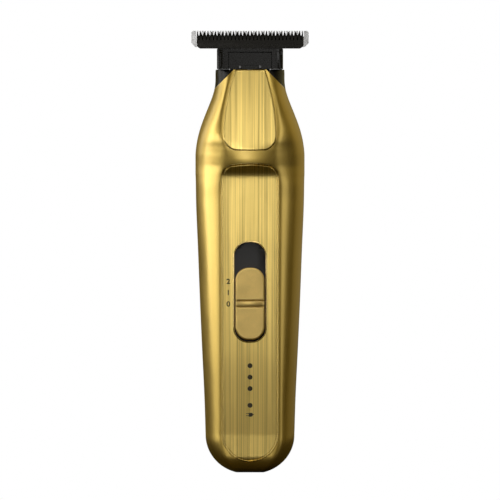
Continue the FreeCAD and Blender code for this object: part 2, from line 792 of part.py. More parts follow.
chassis_top = motor_low - v.frame_foot - 0.6
tray = Part.makeBox(2 * v.chassis_half_width, v.chassis_thickness, chassis_top - v.chassis_bottom,
                    Vector(-v.chassis_half_width, chassis_front, v.chassis_bottom))
for end_low in (v.cell_bottom - v.tab_thickness - 0.3 - v.chassis_end,
                cell_top + v.tab_thickness + 0.3):
    tray = tray.fuse(Part.makeBox(2 * v.cell_radius, cell_y + 3.0 - chassis_front,
                                  v.chassis_end, Vector(-v.cell_radius, chassis_front, end_low)))
for x in (-v.board_half_width + 1.0, v.board_half_width - 2.5):
    for z in (v.board_bottom + 2, (v.board_bottom + v.board_top) / 2, v.board_top - 4):
        tray = tray.fuse(Part.makeBox(1.5, v.board_standoff, 2.0, Vector(x, board_back, z)))
for x, z in board_screws:
    tray = tray.cut(tube_y(x, z, v.screw_head_radius + 0.3, -FAR, FAR))
node("inner_chassis", feature("inner_chassis", tray.removeSplitter()))

cell = doc.addObject("PartDesign::Body", "battery_cell")
cell_sketch = sketch_on(cell, "XY_Plane", "cell_bottom")
circle = cell_sketch.addGeometry(Part.Circle(Vector(0, cell_y, 0), Vector(0, 0, 1), v.cell_radius))
radius = cell_sketch.addConstraint(Sketcher.Constraint("Radius", circle, v.cell_radius))
cell_sketch.setExpression(f"Constraints[{radius}]", bound("cell_radius"))
cell_sketch.addConstraint(Sketcher.Constraint("DistanceX", -1, 1, circle, 3, 0.0))
cell_sketch.addConstraint(Sketcher.Constraint("DistanceY", -1, 1, circle, 3, cell_y))
cell_pad = pad(cell, cell_sketch, "cell_length")
dress(cell, "Fillet", cell_pad, lambda edge: len(edge.Vertexes) == 1, "Radius",
      "cell_radius / 12")
node("battery_cell", cell)

tabs = []
for tab_low in (v.cell_bottom - v.tab_thickness, cell_top):
    tabs.append(Part.makeBox(5.0, cell_y + 2.5 - chassis_back, v.tab_thickness,
                             Vector(-2.5, chassis_back, tab_low)))
node("battery_tabs", feature("battery_tabs", Part.makeCompound(tabs)))

board = Part.makeBox(2 * v.board_half_width, v.board_thickness, v.board_top - v.board_bottom,
                     Vector(-v.board_half_width, board_front, v.board_bottom))
for x, z in board_screws:
    board = board.cut(tube_y(x, z, v.screw_radius + v.screw_clearance, -30, 30))
node("circuit_board", feature("circuit_board", board))
screw_group("board_screws", board_screws, [board_back] * 2, [board_front - 3.0] * 2)

leds = [Part.makeBox(v.led_size, v.led_thickness, v.led_size,
                     Vector(x - v.led_size / 2, board_front - v.led_thickness, z - v.led_size / 2))
        for x, z in lens_places]
node("status_leds", feature("status_leds", Part.makeCompound(leds)))

# ---- charging inlet ------------------------------------------------------------------------

inlet = doc.addObject("PartDesign::Body", "charging_inlet")
profile = sketch_on(inlet, "XZ_Plane")
outline(profile, [
    ("inlet_bore_radius", "inlet_sink"),
    ("inlet_radius", "inlet_sink"),
    ("inlet_radius", "inlet_length"),
    ("inlet_pin_radius + 0.05", "inlet_length"),
    ("inlet_pin_radius + 0.05", "inlet_bore_depth + inlet_sink"),
    ("inlet_bore_radius", "inlet_bore_depth + inlet_sink"),
])
turned = inlet.newObject("PartDesign::Revolution", "inlet_turned")
turned.Profile = profile
turned.ReferenceAxis = (profile, ["V_Axis"])
turned.Angle = 360
node("charging_inlet", inlet)
node("inlet_pin", rod("inlet_pin", ("0", "0", "inlet_sink + 1.5"), "inlet_pin_radius",
                      "inlet_length"))
ring = cut("inlet_seal", rod("seal_outside", ("0", "0", "inlet_length - 5"),
                             "inlet_radius + seal_width", "1.2"),
           rod("seal_inside", ("0", "0", "inlet_length - 6"), "inlet_radius", "4"))
node("inlet_seal", ring)

# ---- motor ---------------------------------------------------------------------------------

motor_base = "shoulder_height - motor_drop"
frame_base = block("frame_base", ("-frame_half_width", "frame_half_width"),
                   ("-core_half_stack", "core_half_stack"), (motor_base, f"{motor_base} + frame_height"))
frame_foot = block("frame_foot_plate", ("-frame_half_width + 3", "frame_half_width - 3"),
                   ("-core_half_stack - frame_foot_thickness", "-core_half_stack"),
                   (f"{motor_base} - frame_foot", f"{motor_base} + frame_height"))
foot_holes = []
for index, (x, z) in enumerate(motor_screws):
    foot_holes.append(feature(f"foot_hole_{index}",
                              tube_y(x, z, v.screw_radius + v.screw_clearance, -20, 0)))
node("motor_frame", cut("motor_frame", fuse("frame_blank", frame_base, frame_foot), *foot_holes))
screw_group("motor_screws", motor_screws, [-v.core_half_stack] * 2,
            [-v.core_half_stack - v.frame_foot_thickness - 2.4] * 2)

core_bottom = f"{motor_base} + frame_height"
stack = ("-core_half_stack", "core_half_stack")
core_blank = block("core_blank", ("-core_half_width", "core_half_width"), stack,
                   (core_bottom, f"{core_bottom} + core_height"))
windows = []
for side in (-1, 1):
    inner, outside = "core_centre_leg", "core_half_width - core_leg"
    pair = (inner, outside) if side > 0 else (f"-({outside})", f"-({inner})")
    windows.append(block(f"core_window_{side + 1}", pair, ("-core_half_stack - 1",
                                                          "core_half_stack + 1"),
                         (f"{core_bottom} + core_leg", f"{core_bottom} + core_height + 1")))
node("stator_core", cut("stator_core", core_blank, *windows))


def winding(name, inner, outside, low_formula, high_formula):
    """A square ring round the core's centre leg, between two distances from the leg."""
    shapes = []
    for title, grow in (("outside", outside), ("inside", inner)):
        shapes.append(block(f"{name}_{title}", (f"-core_centre_leg - ({grow})",
                                               f"core_centre_leg + {grow}"),
                            (f"-core_half_stack - ({grow})", f"core_half_stack + {grow}"),
                            (low_formula, high_formula)))
    return cut(name, *shapes)


coil_low = f"{core_bottom} + core_leg + 0.6"
node("coil_bobbin", winding("coil_bobbin", "0.05", "0.05 + bobbin_wall",
                            f"{coil_low} - 0.5", f"{coil_low} + coil_height + 0.5"))
node("motor_coil", winding("motor_coil", "0.05 + bobbin_wall", "coil_wall",
                           coil_low, f"{coil_low} + coil_height"))

magnet_start = f"{core_bottom} + core_height + air_gap"
magnet = block("magnet_right", ("0.8", "0.8 + magnet_width"), ("-core_half_stack + 0.5",
                                                              "core_half_stack - 0.5"),
               (magnet_start, f"{magnet_start} + magnet_height"))
node("mover_magnets", mirrored("mover_magnets", magnet))
yoke_start = f"{magnet_start} + magnet_height"
yoke = block("mover_yoke", ("-frame_half_width", "frame_half_width"), stack,
             (yoke_start, f"{yoke_start} + yoke_height"))
node("mover_yoke", yoke)
flexure = block("flexure_right", ("frame_half_width", "frame_half_width + flexure_thickness"),
                ("-flexure_half_depth", "flexure_half_depth"),
                (f"{motor_base} + 0.3", f"{yoke_start} + yoke_height - 0.3"))
node("flexure_springs", mirrored("flexure_springs", flexure))

# the arm tapers from the yoke up to the neck, and carries the round pin
arm = doc.addObject("PartDesign::Body", "drive_arm")
arm_sketch = sketch_on(arm, "XZ_Plane", "-(pin_y) - arm_thickness / 2")
arm_low = f"{yoke_start} + yoke_height"
outline(arm_sketch, [
    ("-arm_half_width", arm_low),
    ("arm_half_width", arm_low),
    ("arm_half_width", f"{arm_low} + 3"),
    ("pin_radius + 0.6", "body_height - collar_drop - 1"),
    ("pin_radius + 0.6", "body_height - 1"),
    ("-pin_radius - 0.6", "body_height - 1"),
    ("-pin_radius - 0.6", "body_height - collar_drop - 1"),
    ("-arm_half_width", f"{arm_low} + 3"),
])
pad(arm, arm_sketch, "arm_thickness")
node("drive_arm", arm)
node("drive_pin", rod("drive_pin", ("0", "pin_y", "body_height - 1"), "pin_radius",
                      "1 + block_gap + pin_reach"))

# ---- neck collar ---------------------------------------------------------------------------

collar_low = v.body_height - v.collar_drop
corners = outer.common(beyond(v.fit_gap * 1.4)).common(form(0.0, collar_low))
collar = form(v.wall + v.fit_gap, collar_low).fuse(corners).removeSplitter()
arm_room = v.pin_radius + 0.6 + v.stroke + 0.5
collar = collar.cut(Part.makeBox(2 * arm_room, 4.4, 40, Vector(-arm_room, v.pin_y - 2.2,
                                                              collar_low - 1)))
hollow = form(v.wall * 2 + v.fit_gap, collar_low, v.body_height - v.tenon_height - 2.2)
collar = collar.cut(hollow)
collar = collar.cut(Part.makeBox(2 * (v.tenon_half_width + v.tenon_gap),
                                 v.tenon_rear - v.tenon_front + 2 * v.tenon_gap,
                                 v.tenon_height + 1,
                                 Vector(-v.tenon_half_width - v.tenon_gap,
                                        v.tenon_front - v.tenon_gap,
                                        v.body_height - v.tenon_height)))
clip_room = Part.makeBox(v.clip_thickness + 0.3, v.tenon_rear - v.tenon_front, v.tenon_height,
                         Vector(v.tenon_half_width, v.tenon_front,
                                v.body_height - v.tenon_height))
collar = collar.cut(clip_room).cut(clip_room.mirror(Vector(), Vector(1, 0, 0)))
node("neck_collar", feature("neck_collar", collar))

seal_low = v.body_height - 7.2
seal = Part.makeBox(2 * (arm_room - 0.05), 4.3, 1.2, Vector(-arm_room + 0.05, v.pin_y - 2.15,
                                                           seal_low))
seal_room = v.pin_radius + 0.6 + v.stroke + 0.15
seal = seal.cut(Part.makeBox(2 * seal_room, v.arm_thickness + 0.5, 3,
                             Vector(-seal_room, v.pin_y - v.arm_thickness / 2 - 0.25,
                                    seal_low - 1)))
node("neck_seal", feature("neck_seal", seal))

# ---- lift-off blade block ------------------------------------------------------------------

block_front = -v.crown_front + v.block_front_step
block_rear = v.crown_rear - v.block_rear_step


def block_wire(height, front, rear):
    """The blade block's section: a rounded rectangle across the body."""
    slab = Part.makeBox(2 * v.block_half_width, rear - front, 1,
                                  Vector(-v.block_half_width, front, height))
    upright = [e for e in slab.Edges if abs(e.tangentAt(e.FirstParameter).z) > 0.99]
    slab = slab.makeFillet(v.block_corner, upright)
    return min(slab.Faces, key=lambda face: face.CenterOfMass.z).OuterWire


block_form = Part.makeLoft([block_wire(v.block_bottom, block_front, block_rear),
                            block_wire(v.block_top, -v.block_front_top, v.block_rear_top)],
                           True, True)
fixed_back = v.contact_y + v.fixed_thickness
fixed_room = Part.makeBox(2 * (v.fixed_stem_half_width + v.fit_gap),
                          v.fixed_thickness + v.fit_gap, 20,
                          Vector(-v.fixed_stem_half_width - v.fit_gap, v.contact_y,
                                 v.stem_bottom - v.fit_gap))
cutter_front = v.contact_y - v.blade_gap - v.cutter_thickness
sweep_half = v.cutter_stem_half_width + v.stroke + 0.4
cutter_room = Part.makeBox(2 * sweep_half, v.contact_y - cutter_front + 0.4 + 0.1, 20,
                           Vector(-sweep_half, cutter_front - 0.4, v.stem_bottom - 0.4))
follower_half = v.follower_half_width + v.stroke + 0.4
follower_front = cutter_front - v.follower_depth
follower_room = Part.makeBox(2 * follower_half, v.follower_depth + 1.2,
                             v.block_top - v.block_bottom - 1.6 + 1,
                             Vector(-follower_half, follower_front - 0.6, v.block_bottom - 1))
frame_block = block_form.cut(fixed_room).cut(cutter_room).cut(follower_room)
tenon = Part.makeBox(2 * v.tenon_half_width, v.tenon_rear - v.tenon_front,
                     v.tenon_height + 1.0,
                     Vector(-v.tenon_half_width, v.tenon_front,
                            v.block_bottom - v.tenon_height + 0.3))
frame_block = frame_block.fuse(tenon)


def hood(depth_low, depth_high, half, low, high):
    """A layer of the block's leaning front face."""
    near = block_form.copy()
    near.translate(Vector(0, depth_low, 0))
    far = block_form.copy()
    far.translate(Vector(0, depth_high, 0))
    room = Part.makeBox(2 * half, 12, high - low, Vector(-half, -16, low))
    return near.common(room).cut(far)


cover_high = v.block_top - v.cover_drop
frame_block = frame_block.cut(hood(-0.5, v.cover_thickness + 0.35, v.cover_half_width + v.fit_gap,
                                   v.block_bottom - 1, cover_high + v.fit_gap))
for x, z in blade_screws:
    frame_block = frame_block.cut(tube_y(x, z, v.screw_head_radius + v.screw_clearance,
                                         fixed_back + v.fit_gap, 12))
    frame_block = frame_block.cut(tube_y(x, z, v.screw_radius, v.contact_y - 3.4,
                                         v.contact_y + 0.1))
node("blade_block_frame", feature("blade_block_frame", frame_block))
cover = hood(v.cover_sink, v.cover_thickness + 0.3, v.cover_half_width, v.block_bottom,
             cover_high)
peg_places = [(side * v.peg_spacing / 2, v.block_bottom + v.peg_rise) for side in (-1, 1)]
for x, z in peg_places:
    cover = cover.cut(tube_y(x, z, v.peg_radius + 0.02, -20, 0))
node("blade_block_cover", feature("blade_block_cover", cover))
cover_face = block_front + v.cover_sink
pegs = [tube_y(x, z, v.peg_radius, cover_face - 0.25, cover_face + 0.9) for x, z in peg_places]
node("block_pegs", feature("block_pegs", Part.makeCompound(pegs)))

clip = Part.makeBox(v.clip_thickness, v.tenon_rear - v.tenon_front - 0.6, v.tenon_height - 1.0,
                    Vector(v.tenon_half_width + 0.05, v.tenon_front + 0.3,
                           v.body_height - v.tenon_height + 0.6))
clips = clip.fuse(clip.mirror(Vector(), Vector(1, 0, 0)))
node("block_clips", feature("block_clips", clips))

# ---- blades --------------------------------------------------------------------------------

fixed = doc.addObject("PartDesign::Body", "fixed_blade")
fixed_sketch = sketch_on(fixed, "XZ_Plane", "-(contact_y) - fixed_thickness")
outline(fixed_sketch, [
    ("-fixed_stem_half_width", "stem_bottom"),
    ("fixed_stem_half_width", "stem_bottom"),
    ("fixed_stem_half_width", "fixed_bar_bottom"),
    ("fixed_half_width - 1.5", "fixed_bar_bottom"),
    ("fixed_half_width", "fixed_bar_bottom + 1.5"),
    ("fixed_half_width", "tip_height - 0.6"),
    ("fixed_half_width - 0.6", "tip_height"),
    ("-fixed_half_width + 0.6", "tip_height"),
    ("-fixed_half_width", "tip_height - 0.6"),
    ("-fixed_half_width", "fixed_bar_bottom + 1.5"),
    ("-fixed_half_width + 1.5", "fixed_bar_bottom"),
    ("-fixed_stem_half_width", "fixed_bar_bottom"),
])
pad(fixed, fixed_sketch, "fixed_thickness")
taper = sketch_on(fixed, "YZ_Plane")
outline(taper, [
    ("contact_y + 0.45", "tip_height + 1"),
    ("contact_y + 0.45", "tip_height - 0.2"),
    ("contact_y + fixed_thickness + 0.01", "fixed_bar_bottom + 1.6"),
    ("contact_y + fixed_thickness + 3", "fixed_bar_bottom + 1.6"),
    ("contact_y + fixed_thickness + 3", "tip_height + 1"),
])
pocket(fixed, taper, "taper")
holes = sketch_on(fixed, "XZ_Plane")
for x, z in blade_screws:
    hole = holes.addGeometry(Part.Circle(Vector(x, z, 0), Vector(0, 0, 1), v.screw_radius + 0.1))
    holes.addConstraint(Sketcher.Constraint("Radius", hole, v.screw_radius + 0.1))
    holes.addConstraint(Sketcher.Constraint("DistanceX", -1, 1, hole, 3, x))
    holes.addConstraint(Sketcher.Constraint("DistanceY", -1, 1, hole, 3, z))
pocket(fixed, holes, "screw_holes")


def teeth(body, pitch, gaps, width, floor_width, tip, depth):
    """Cuts equal gaps along the blade's edge, the first at the left end."""
    gap = sketch_on(body, "XZ_Plane")
    start = f"-({gaps} - 1) * {pitch} / 2"
    outline(gap, [
        (f"{start} - {floor_width} / 2", f"{tip} - {depth}"),
        (f"{start} + {floor_width} / 2", f"{tip} - {depth}"),
        (f"{start} + {width} / 2", f"{tip} + 1"),
        (f"{start} - {width} / 2", f"{tip} + 1"),
    ])
    first = pocket(body, gap, "gap")
    row = body.newObject("PartDesign::LinearPattern", f"{body.Name}_teeth")
    row.Originals = [first]
    row.Direction = (gap, ["H_Axis"])
    row.Occurrences = gaps
    row.setExpression("Length", bound(f"({gaps} - 1) * {pitch}"))
    body.Tip = row
    doc.recompute()


teeth(fixed, "fixed_pitch", FIXED_GAPS, "fixed_gap_width", "fixed_gap_width", "tip_height",
      "fixed_tooth_depth")
node("fixed_blade", fixed)

cutter = doc.addObject("PartDesign::Body", "cutter_blade")
cutter_sketch = sketch_on(cutter, "XZ_Plane", "-(contact_y) + blade_gap")
outline(cutter_sketch, [
    ("-cutter_stem_half_width", "stem_bottom"),
    ("cutter_stem_half_width", "stem_bottom"),
    ("cutter_stem_half_width", "cutter_bar_bottom"),
    ("cutter_half_width - 1.6", "cutter_bar_bottom"),
    ("cutter_half_width - 0.5", "cutter_bar_bottom + 0.5"),
    ("cutter_half_width", "cutter_bar_bottom + 1.6"),
    ("cutter_half_width", "cutter_tip"),
    ("-cutter_half_width", "cutter_tip"),
    ("-cutter_half_width", "cutter_bar_bottom + 1.6"),
    ("-cutter_half_width + 0.5", "cutter_bar_bottom + 0.5"),
    ("-cutter_half_width + 1.6", "cutter_bar_bottom"),
    ("-cutter_stem_half_width", "cutter_bar_bottom"),
])
pad(cutter, cutter_sketch, "cutter_thickness")
bevel = sketch_on(cutter, "YZ_Plane")
cutter_face = "contact_y - blade_gap - cutter_thickness"
outline(bevel, [
    (f"{cutter_face} - 1", "bevel_height"),
    (f"{cutter_face}", "bevel_height"),
    (f"{cutter_face} + bevel_depth", "bevel_height + 0.4"),
    (f"{cutter_face} + bevel_depth + 0.35", "cutter_tip"),
    (f"{cutter_face} + bevel_depth + 0.35", "cutter_tip + 1"),
    (f"{cutter_face} - 1", "cutter_tip + 1"),
])
pocket(cutter, bevel, "bevel")
teeth(cutter, "cutter_pitch", CUTTER_TEETH - 1, "cutter_gap_width", "cutter_gap_floor",
      "cutter_tip", "cutter_tooth_depth")
node("cutter_blade", cutter)

screw_group("blade_screws", blade_screws, [fixed_back] * 2, [v.contact_y - 3.0] * 2)

follower = block("follower_blank", ("-follower_half_width", "follower_half_width"),
                 (f"{cutter_face} - follower_depth", cutter_face),
                 ("stem_bottom", "stem_bottom + 3.3"))
pin_slot = block("follower_slot", ("-pin_radius - pin_clearance", "pin_radius + pin_clearance"),
                 ("pin_y - pin_radius - 0.15", "pin_y + pin_radius + 0.15"),
                 ("stem_bottom - 1", "block_bottom + pin_reach + 0.4"))
node("cutter_follower", cut("cutter_follower", follower, pin_slot))
spring = block("tension_spring_leaf", ("-follower_half_width", "follower_half_width"),
               (f"{cutter_face} - follower_depth - 0.4",
                f"{cutter_face} - follower_depth - 0.15"),
               ("stem_bottom + 0.2", "stem_bottom + 2.2"))
node("tension_spring", spring)

# ---- check and write -----------------------------------------------------------------------

doc.recompute()
faulty = [o.Label for o in doc.Objects if {"Invalid", "Error"} & set(o.State)]
faulty += [n.Label for n in nodes if n.Shape.isNull() or not n.Shape.isValid()]
if faulty:
    raise SystemExit(f"failed pieces: {faulty}")
os.makedirs("parts", exist_ok=True)
for item in nodes:
    item.Shape.exportStep(f"parts/{item.Label}.step")
print(len(nodes), "nodes written")
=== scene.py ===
import json
import math

import bmesh
import bpy
import numpy as np
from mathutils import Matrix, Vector


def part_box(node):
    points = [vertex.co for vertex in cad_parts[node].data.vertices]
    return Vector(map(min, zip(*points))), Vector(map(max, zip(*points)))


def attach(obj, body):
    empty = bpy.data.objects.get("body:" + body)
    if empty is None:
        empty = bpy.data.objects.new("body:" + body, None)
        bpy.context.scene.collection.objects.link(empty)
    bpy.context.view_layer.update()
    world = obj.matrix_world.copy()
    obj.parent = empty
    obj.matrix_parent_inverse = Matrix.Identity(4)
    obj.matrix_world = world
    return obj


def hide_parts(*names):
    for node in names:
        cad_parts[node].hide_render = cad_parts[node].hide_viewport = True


# A gold cordless trimmer with a T-shaped blade, standing on its foot and seen square from the front.
# Sizes here are in millimetres, and make_object turns them into the frame's metres. Heights are
# above the floor, half-widths and depths are from the trimmer's axis, and the front faces -Y.

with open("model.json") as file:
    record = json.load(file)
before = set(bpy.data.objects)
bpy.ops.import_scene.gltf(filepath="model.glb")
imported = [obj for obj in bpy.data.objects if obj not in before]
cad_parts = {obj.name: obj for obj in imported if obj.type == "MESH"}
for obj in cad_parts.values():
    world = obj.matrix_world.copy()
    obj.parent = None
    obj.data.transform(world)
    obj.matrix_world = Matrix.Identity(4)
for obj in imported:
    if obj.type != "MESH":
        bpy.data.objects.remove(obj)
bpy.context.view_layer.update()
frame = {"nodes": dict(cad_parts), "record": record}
MM = 0.001

# the body's heights
CAP = 14.1
SHOULDER = 117.4
BODY_TOP = SHOULDER + 34.0
GRIP_DROP = 6.4
# its half-widths
FOOT_FLAT = 1.5
FOOT_HALF = 5.05
BASE_HALF = 16.7
SHOULDER_HALF = 20.5
NECK_HALF = 12.9
BAND = 11.2
# its depths, and how they change along it
FRONT = 15.5
FRONT_BOW = 0.9
SCOOP_BOW = 0.5
FRONT_ROUND = 6.0
BRIDGE = 18.2
REAR = 18.65
REAR_GROWTH = 3.3
CROWN_FRONT = 11.0
CROWN_REAR = 9.0
FOOT_FRONT = 8.5
FOOT_REAR = 8.0
HEAD_BULGE = 0.7
LEAN_START = 0.107
WIDEST_Y = 1.0
# walls, seam and corners; creases are in degrees from straight ahead
WALL = 1.8
FLOOR_WALL = 2.2
SEAM_Y = 2.0
SEAM_GAP = 0.14
CORNER_START = 6.15
CORNER_DROP = 12.0
CREASE = 15
BRIDGE_CREASE = 37
ROUND_POWER = 0.87
FIT = 0.12
# panel, plate and switch
PANEL_HALF = 10.8
PANEL_LOW = 3.9
PANEL_HIGH = SHOULDER - 1.0
PANEL_CORNER = 4.6
PANEL_ARCH = 0.6
PANEL_THICK = 1.0
PLATE_LOW = SHOULDER + 3.6
PLATE_HALF = 10.0
PLATE_TOP_HALF = 5.6
PLATE_CORNER = 5.3
PLATE_THICK = 0.75
BED_MARGIN = 0.6
SLOT = dict(half=5.925, low=49.1, high=86.5, corner=5.2)
KNOB = dict(half=5.4, low=49.8, high=77.0, corner=4.7)
KNOB_PROUD = 1.7
KNOB_THICK = 3.1
LENS_HEIGHTS = (31.5, 35.8, 40.1, 25.2)
LENS_RADIUS = 0.875
# openings
INLET_RADIUS = 4.0
SCREW_RADIUS = 1.85
LOWER_SCREW_Z = 16.5
UPPER_SCREW_Z = SHOULDER + 13
UPPER_SCREW_X = 10.0
# how far from the axis the cutting shapes reach, all of it outside the body
BEYOND = 60
WEDGE_REACH = 50
DEPTH_REACH = 40


# ---- the body's form -----------------------------------------------------------------------

def monotone(xs, ys):
    """A smooth curve through the points that never overshoots them, as a function."""
    xs, ys = np.array(xs, float), np.array(ys, float)
    step = np.diff(xs)
    slope = np.diff(ys) / step
    tangent = np.zeros(len(xs))
    for i in range(1, len(xs) - 1):
        if slope[i - 1] * slope[i] > 0:
            near, far = 2 * step[i] + step[i - 1], step[i] + 2 * step[i - 1]
            tangent[i] = (near + far) / (near / slope[i - 1] + far / slope[i])
    tangent[0], tangent[-1] = slope[0], slope[-1]

    def at(x):
        i = min(max(int(np.searchsorted(xs, x)) - 1, 0), len(xs) - 2)
        u = (x - xs[i]) / step[i]
        return float((1 + 2 * u) * (1 - u) ** 2 * ys[i] + u * (1 - u) ** 2 * step[i] * tangent[i]
                     + u * u * (3 - 2 * u) * ys[i + 1] + u * u * (u - 1) * step[i] * tangent[i + 1])

    return at


def form_curves():
    """Half-width, front depth and rear depth of the body above its rounded end, by height."""
    # share of the way up the grip, then shares of the growth in width and depth, and the bow
    grip = ((0.0, 0.0, 0.0, FRONT_BOW), (0.14, 0.11, 0.22, 0.5), (0.33, 0.34, 0.5, 0.1),
            (0.52, 0.555, 0.72, 0.0), (0.72, 0.75, 0.9, 0.05), (0.91, 0.945, 1.0, 0.35),
            (1.0, 0.985, 1.0, SCOOP_BOW))
    # height below the shoulder, and share of the way out from the panel's face to the bridge
    scoop = ((5.2, 0.05), (3.9, 0.22), (2.6, 0.5), (1.2, 0.8), (0.0, 0.95))
    # share of the head's height, then shares of the width and rear depth that are left
    head = ((0.053, 1.0, 1.0), (LEAN_START, 0.985, 0.98), (0.2, 0.93, 0.92), (0.3, 0.83, 0.83),
            (0.4, 0.69, 0.73), (0.5, 0.52, 0.62), (0.6, 0.34, 0.51), (0.7, 0.17, 0.4),
            (0.8, 0.05, 0.27), (0.9, 0.01, 0.14), (1.0, 0.0, 0.0))
    rows = []
    reach = SHOULDER - GRIP_DROP - CAP
    for along, width, rear, bow in grip:
        rows.append((CAP + reach * along, BASE_HALF + (SHOULDER_HALF - BASE_HALF) * width,
                     FRONT - bow, REAR - REAR_GROWTH * (1 - rear)))
    face = FRONT - SCOOP_BOW
    for drop, share in scoop:
        rows.append((SHOULDER - drop, SHOULDER_HALF, face + (BRIDGE - face) * share, REAR))
    tall = BODY_TOP - SHOULDER
    for along, width, rear in head:
        lean = max(0.0, (along - LEAN_START) / (1 - LEAN_START))
        rows.append((SHOULDER + tall * along,
                     NECK_HALF + (SHOULDER_HALF - NECK_HALF) * width,
                     BRIDGE - (BRIDGE - CROWN_FRONT) * lean + 4 * HEAD_BULGE * lean * (1 - lean),
                     CROWN_REAR + (REAR - CROWN_REAR) * rear))
    heights = [row[0] for row in rows]
    return [monotone(heights, [row[i] for row in rows]) for i in (1, 2, 3)]


WIDTH_CURVE, FRONT_CURVE, REAR_CURVE = form_curves()
CAP_REACH = BASE_HALF - FOOT_FLAT
CAP_LOWEST = math.asin((FOOT_HALF - FOOT_FLAT) / CAP_REACH)
CAP_FULL = CAP / math.cos(CAP_LOWEST)


def form_at(z):
    """Half-width, front depth and rear depth at a height."""
    if z >= CAP:
        return WIDTH_CURVE(z), FRONT_CURVE(z), REAR_CURVE(z)
    width = FOOT_FLAT + CAP_REACH * math.sqrt(max(0.0, 1 - ((CAP - z) / CAP_FULL) ** 2))
    front, rear_base = FRONT - FRONT_BOW, REAR - REAR_GROWTH
    if z < FRONT_ROUND:
        drop = 1 - math.sqrt(1 - ((FRONT_ROUND - z) / FRONT_ROUND) ** 2)
        front -= (front - FOOT_FRONT) * drop
    drop = 1 - math.sqrt(1 - ((CAP - z) / CAP) ** 2)
    return width, front, rear_base - (rear_base - FOOT_REAR) * drop


def ease(low, high, value):
    """0 below low, 1 above high, and a soft step between them."""
    share = min(max((value - low) / (high - low), 0.0), 1.0)
    return share * share * (3 - 2 * share)


def from_shoulder(*steps):
    return [SHOULDER + step for step in steps]


# the bridge over the panel swells out of the body: its depth on the centre line and at the crease
SWELL_START, SWELL_GROWN, SWELL_END = from_shoulder(-17.4, -13.4, 1.8)
CREASE_FADE, CREASE_END = from_shoulder(5.1, 8.6)
SWELL = monotone(from_shoulder(-17.4, -13.4, -9.4, -6.4, -4.4, -2.4, -1.0, 0.6, 1.8),
                 (15.05, 15.12, 15.4, 16.0, 16.9, 17.75, 18.1, 18.2, 18.2))
CREASE_SWELL = monotone(from_shoulder(-17.4, -13.4, -9.4, -6.4, -3.4, -0.4, 2.1, 4.6, 7.6),
                        (15.05, 15.1, 15.25, 15.55, 16.1, 16.75, 17.2, 17.45, 17.5))
# between these heights the face falls away sideways
FALL_START, FALL_GROWN, FALL_FADE, FALL_END = from_shoulder(-8.4, -4.4, 5.1, 8.1)
FALL_SOFTNESS = 0.02


def swell_depth(z, front):
    if not SWELL_START < z < SWELL_END:
        return front
    return front + (SWELL(z) - front) * ease(SWELL_START, SWELL_GROWN, z)


def crease_depth(z, front):
    if not SWELL_START < z < CREASE_END:
        return front
    share = ease(SWELL_START, SWELL_GROWN, z) * (1 - ease(CREASE_FADE, CREASE_END, z))
    return front + (CREASE_SWELL(z) - front) * share


def front_y(z, x=0.0):
    """The face of the panel and the plate: flat, but falling away sideways near the bridge."""
    front = form_at(z)[1]
    if not FALL_START < z < FALL_END:
        return -front
    fall = front - crease_depth(z, front)
    window = ease(FALL_START, FALL_GROWN, z) * (1 - ease(FALL_FADE, FALL_END, z))
    rounded_fall = 0.5 * (fall + math.sqrt(fall * fall + FALL_SOFTNESS))
    return -front + rounded_fall * window * (x / BAND) ** 2


def plate_half(z):
    """The top plate's half-width, which narrows towards the neck."""
    widest = PLATE_LOW + PLATE_CORNER + 0.5
    along = max(0.0, (z - widest) / (BODY_TOP - widest))
    return PLATE_HALF - (PLATE_HALF - PLATE_TOP_HALF) * along ** 1.9


BAND_LOW, BAND_HIGH = from_shoulder(-9.4, 9.6)
BRIDGE_BAND = monotone(from_shoulder(-9.4, -5.4, -1.4, 2.6, 6.6, 9.6),
                       (BAND, 10.9, 10.2, 10.0, 10.4, 10.9))
CAP_BAND_SHARE = 0.68
PLATE_BORDER = 0.9
BAND_SHRINK = 0.45
# points along half the front band, round the side and round the rear
BAND_STEPS = 12
SIDE_STEPS = 30
REAR_STEPS = 18


def band_half(z, width):
    """Half-width of the flat front band, out to the crease."""
    if z < CAP:
        return min(BAND, width * CAP_BAND_SHARE)
    if z < BAND_LOW:
        return BAND
    if z < BAND_HIGH:
        return BRIDGE_BAND(z)
    return min(BAND, plate_half(z) + PLATE_BORDER)


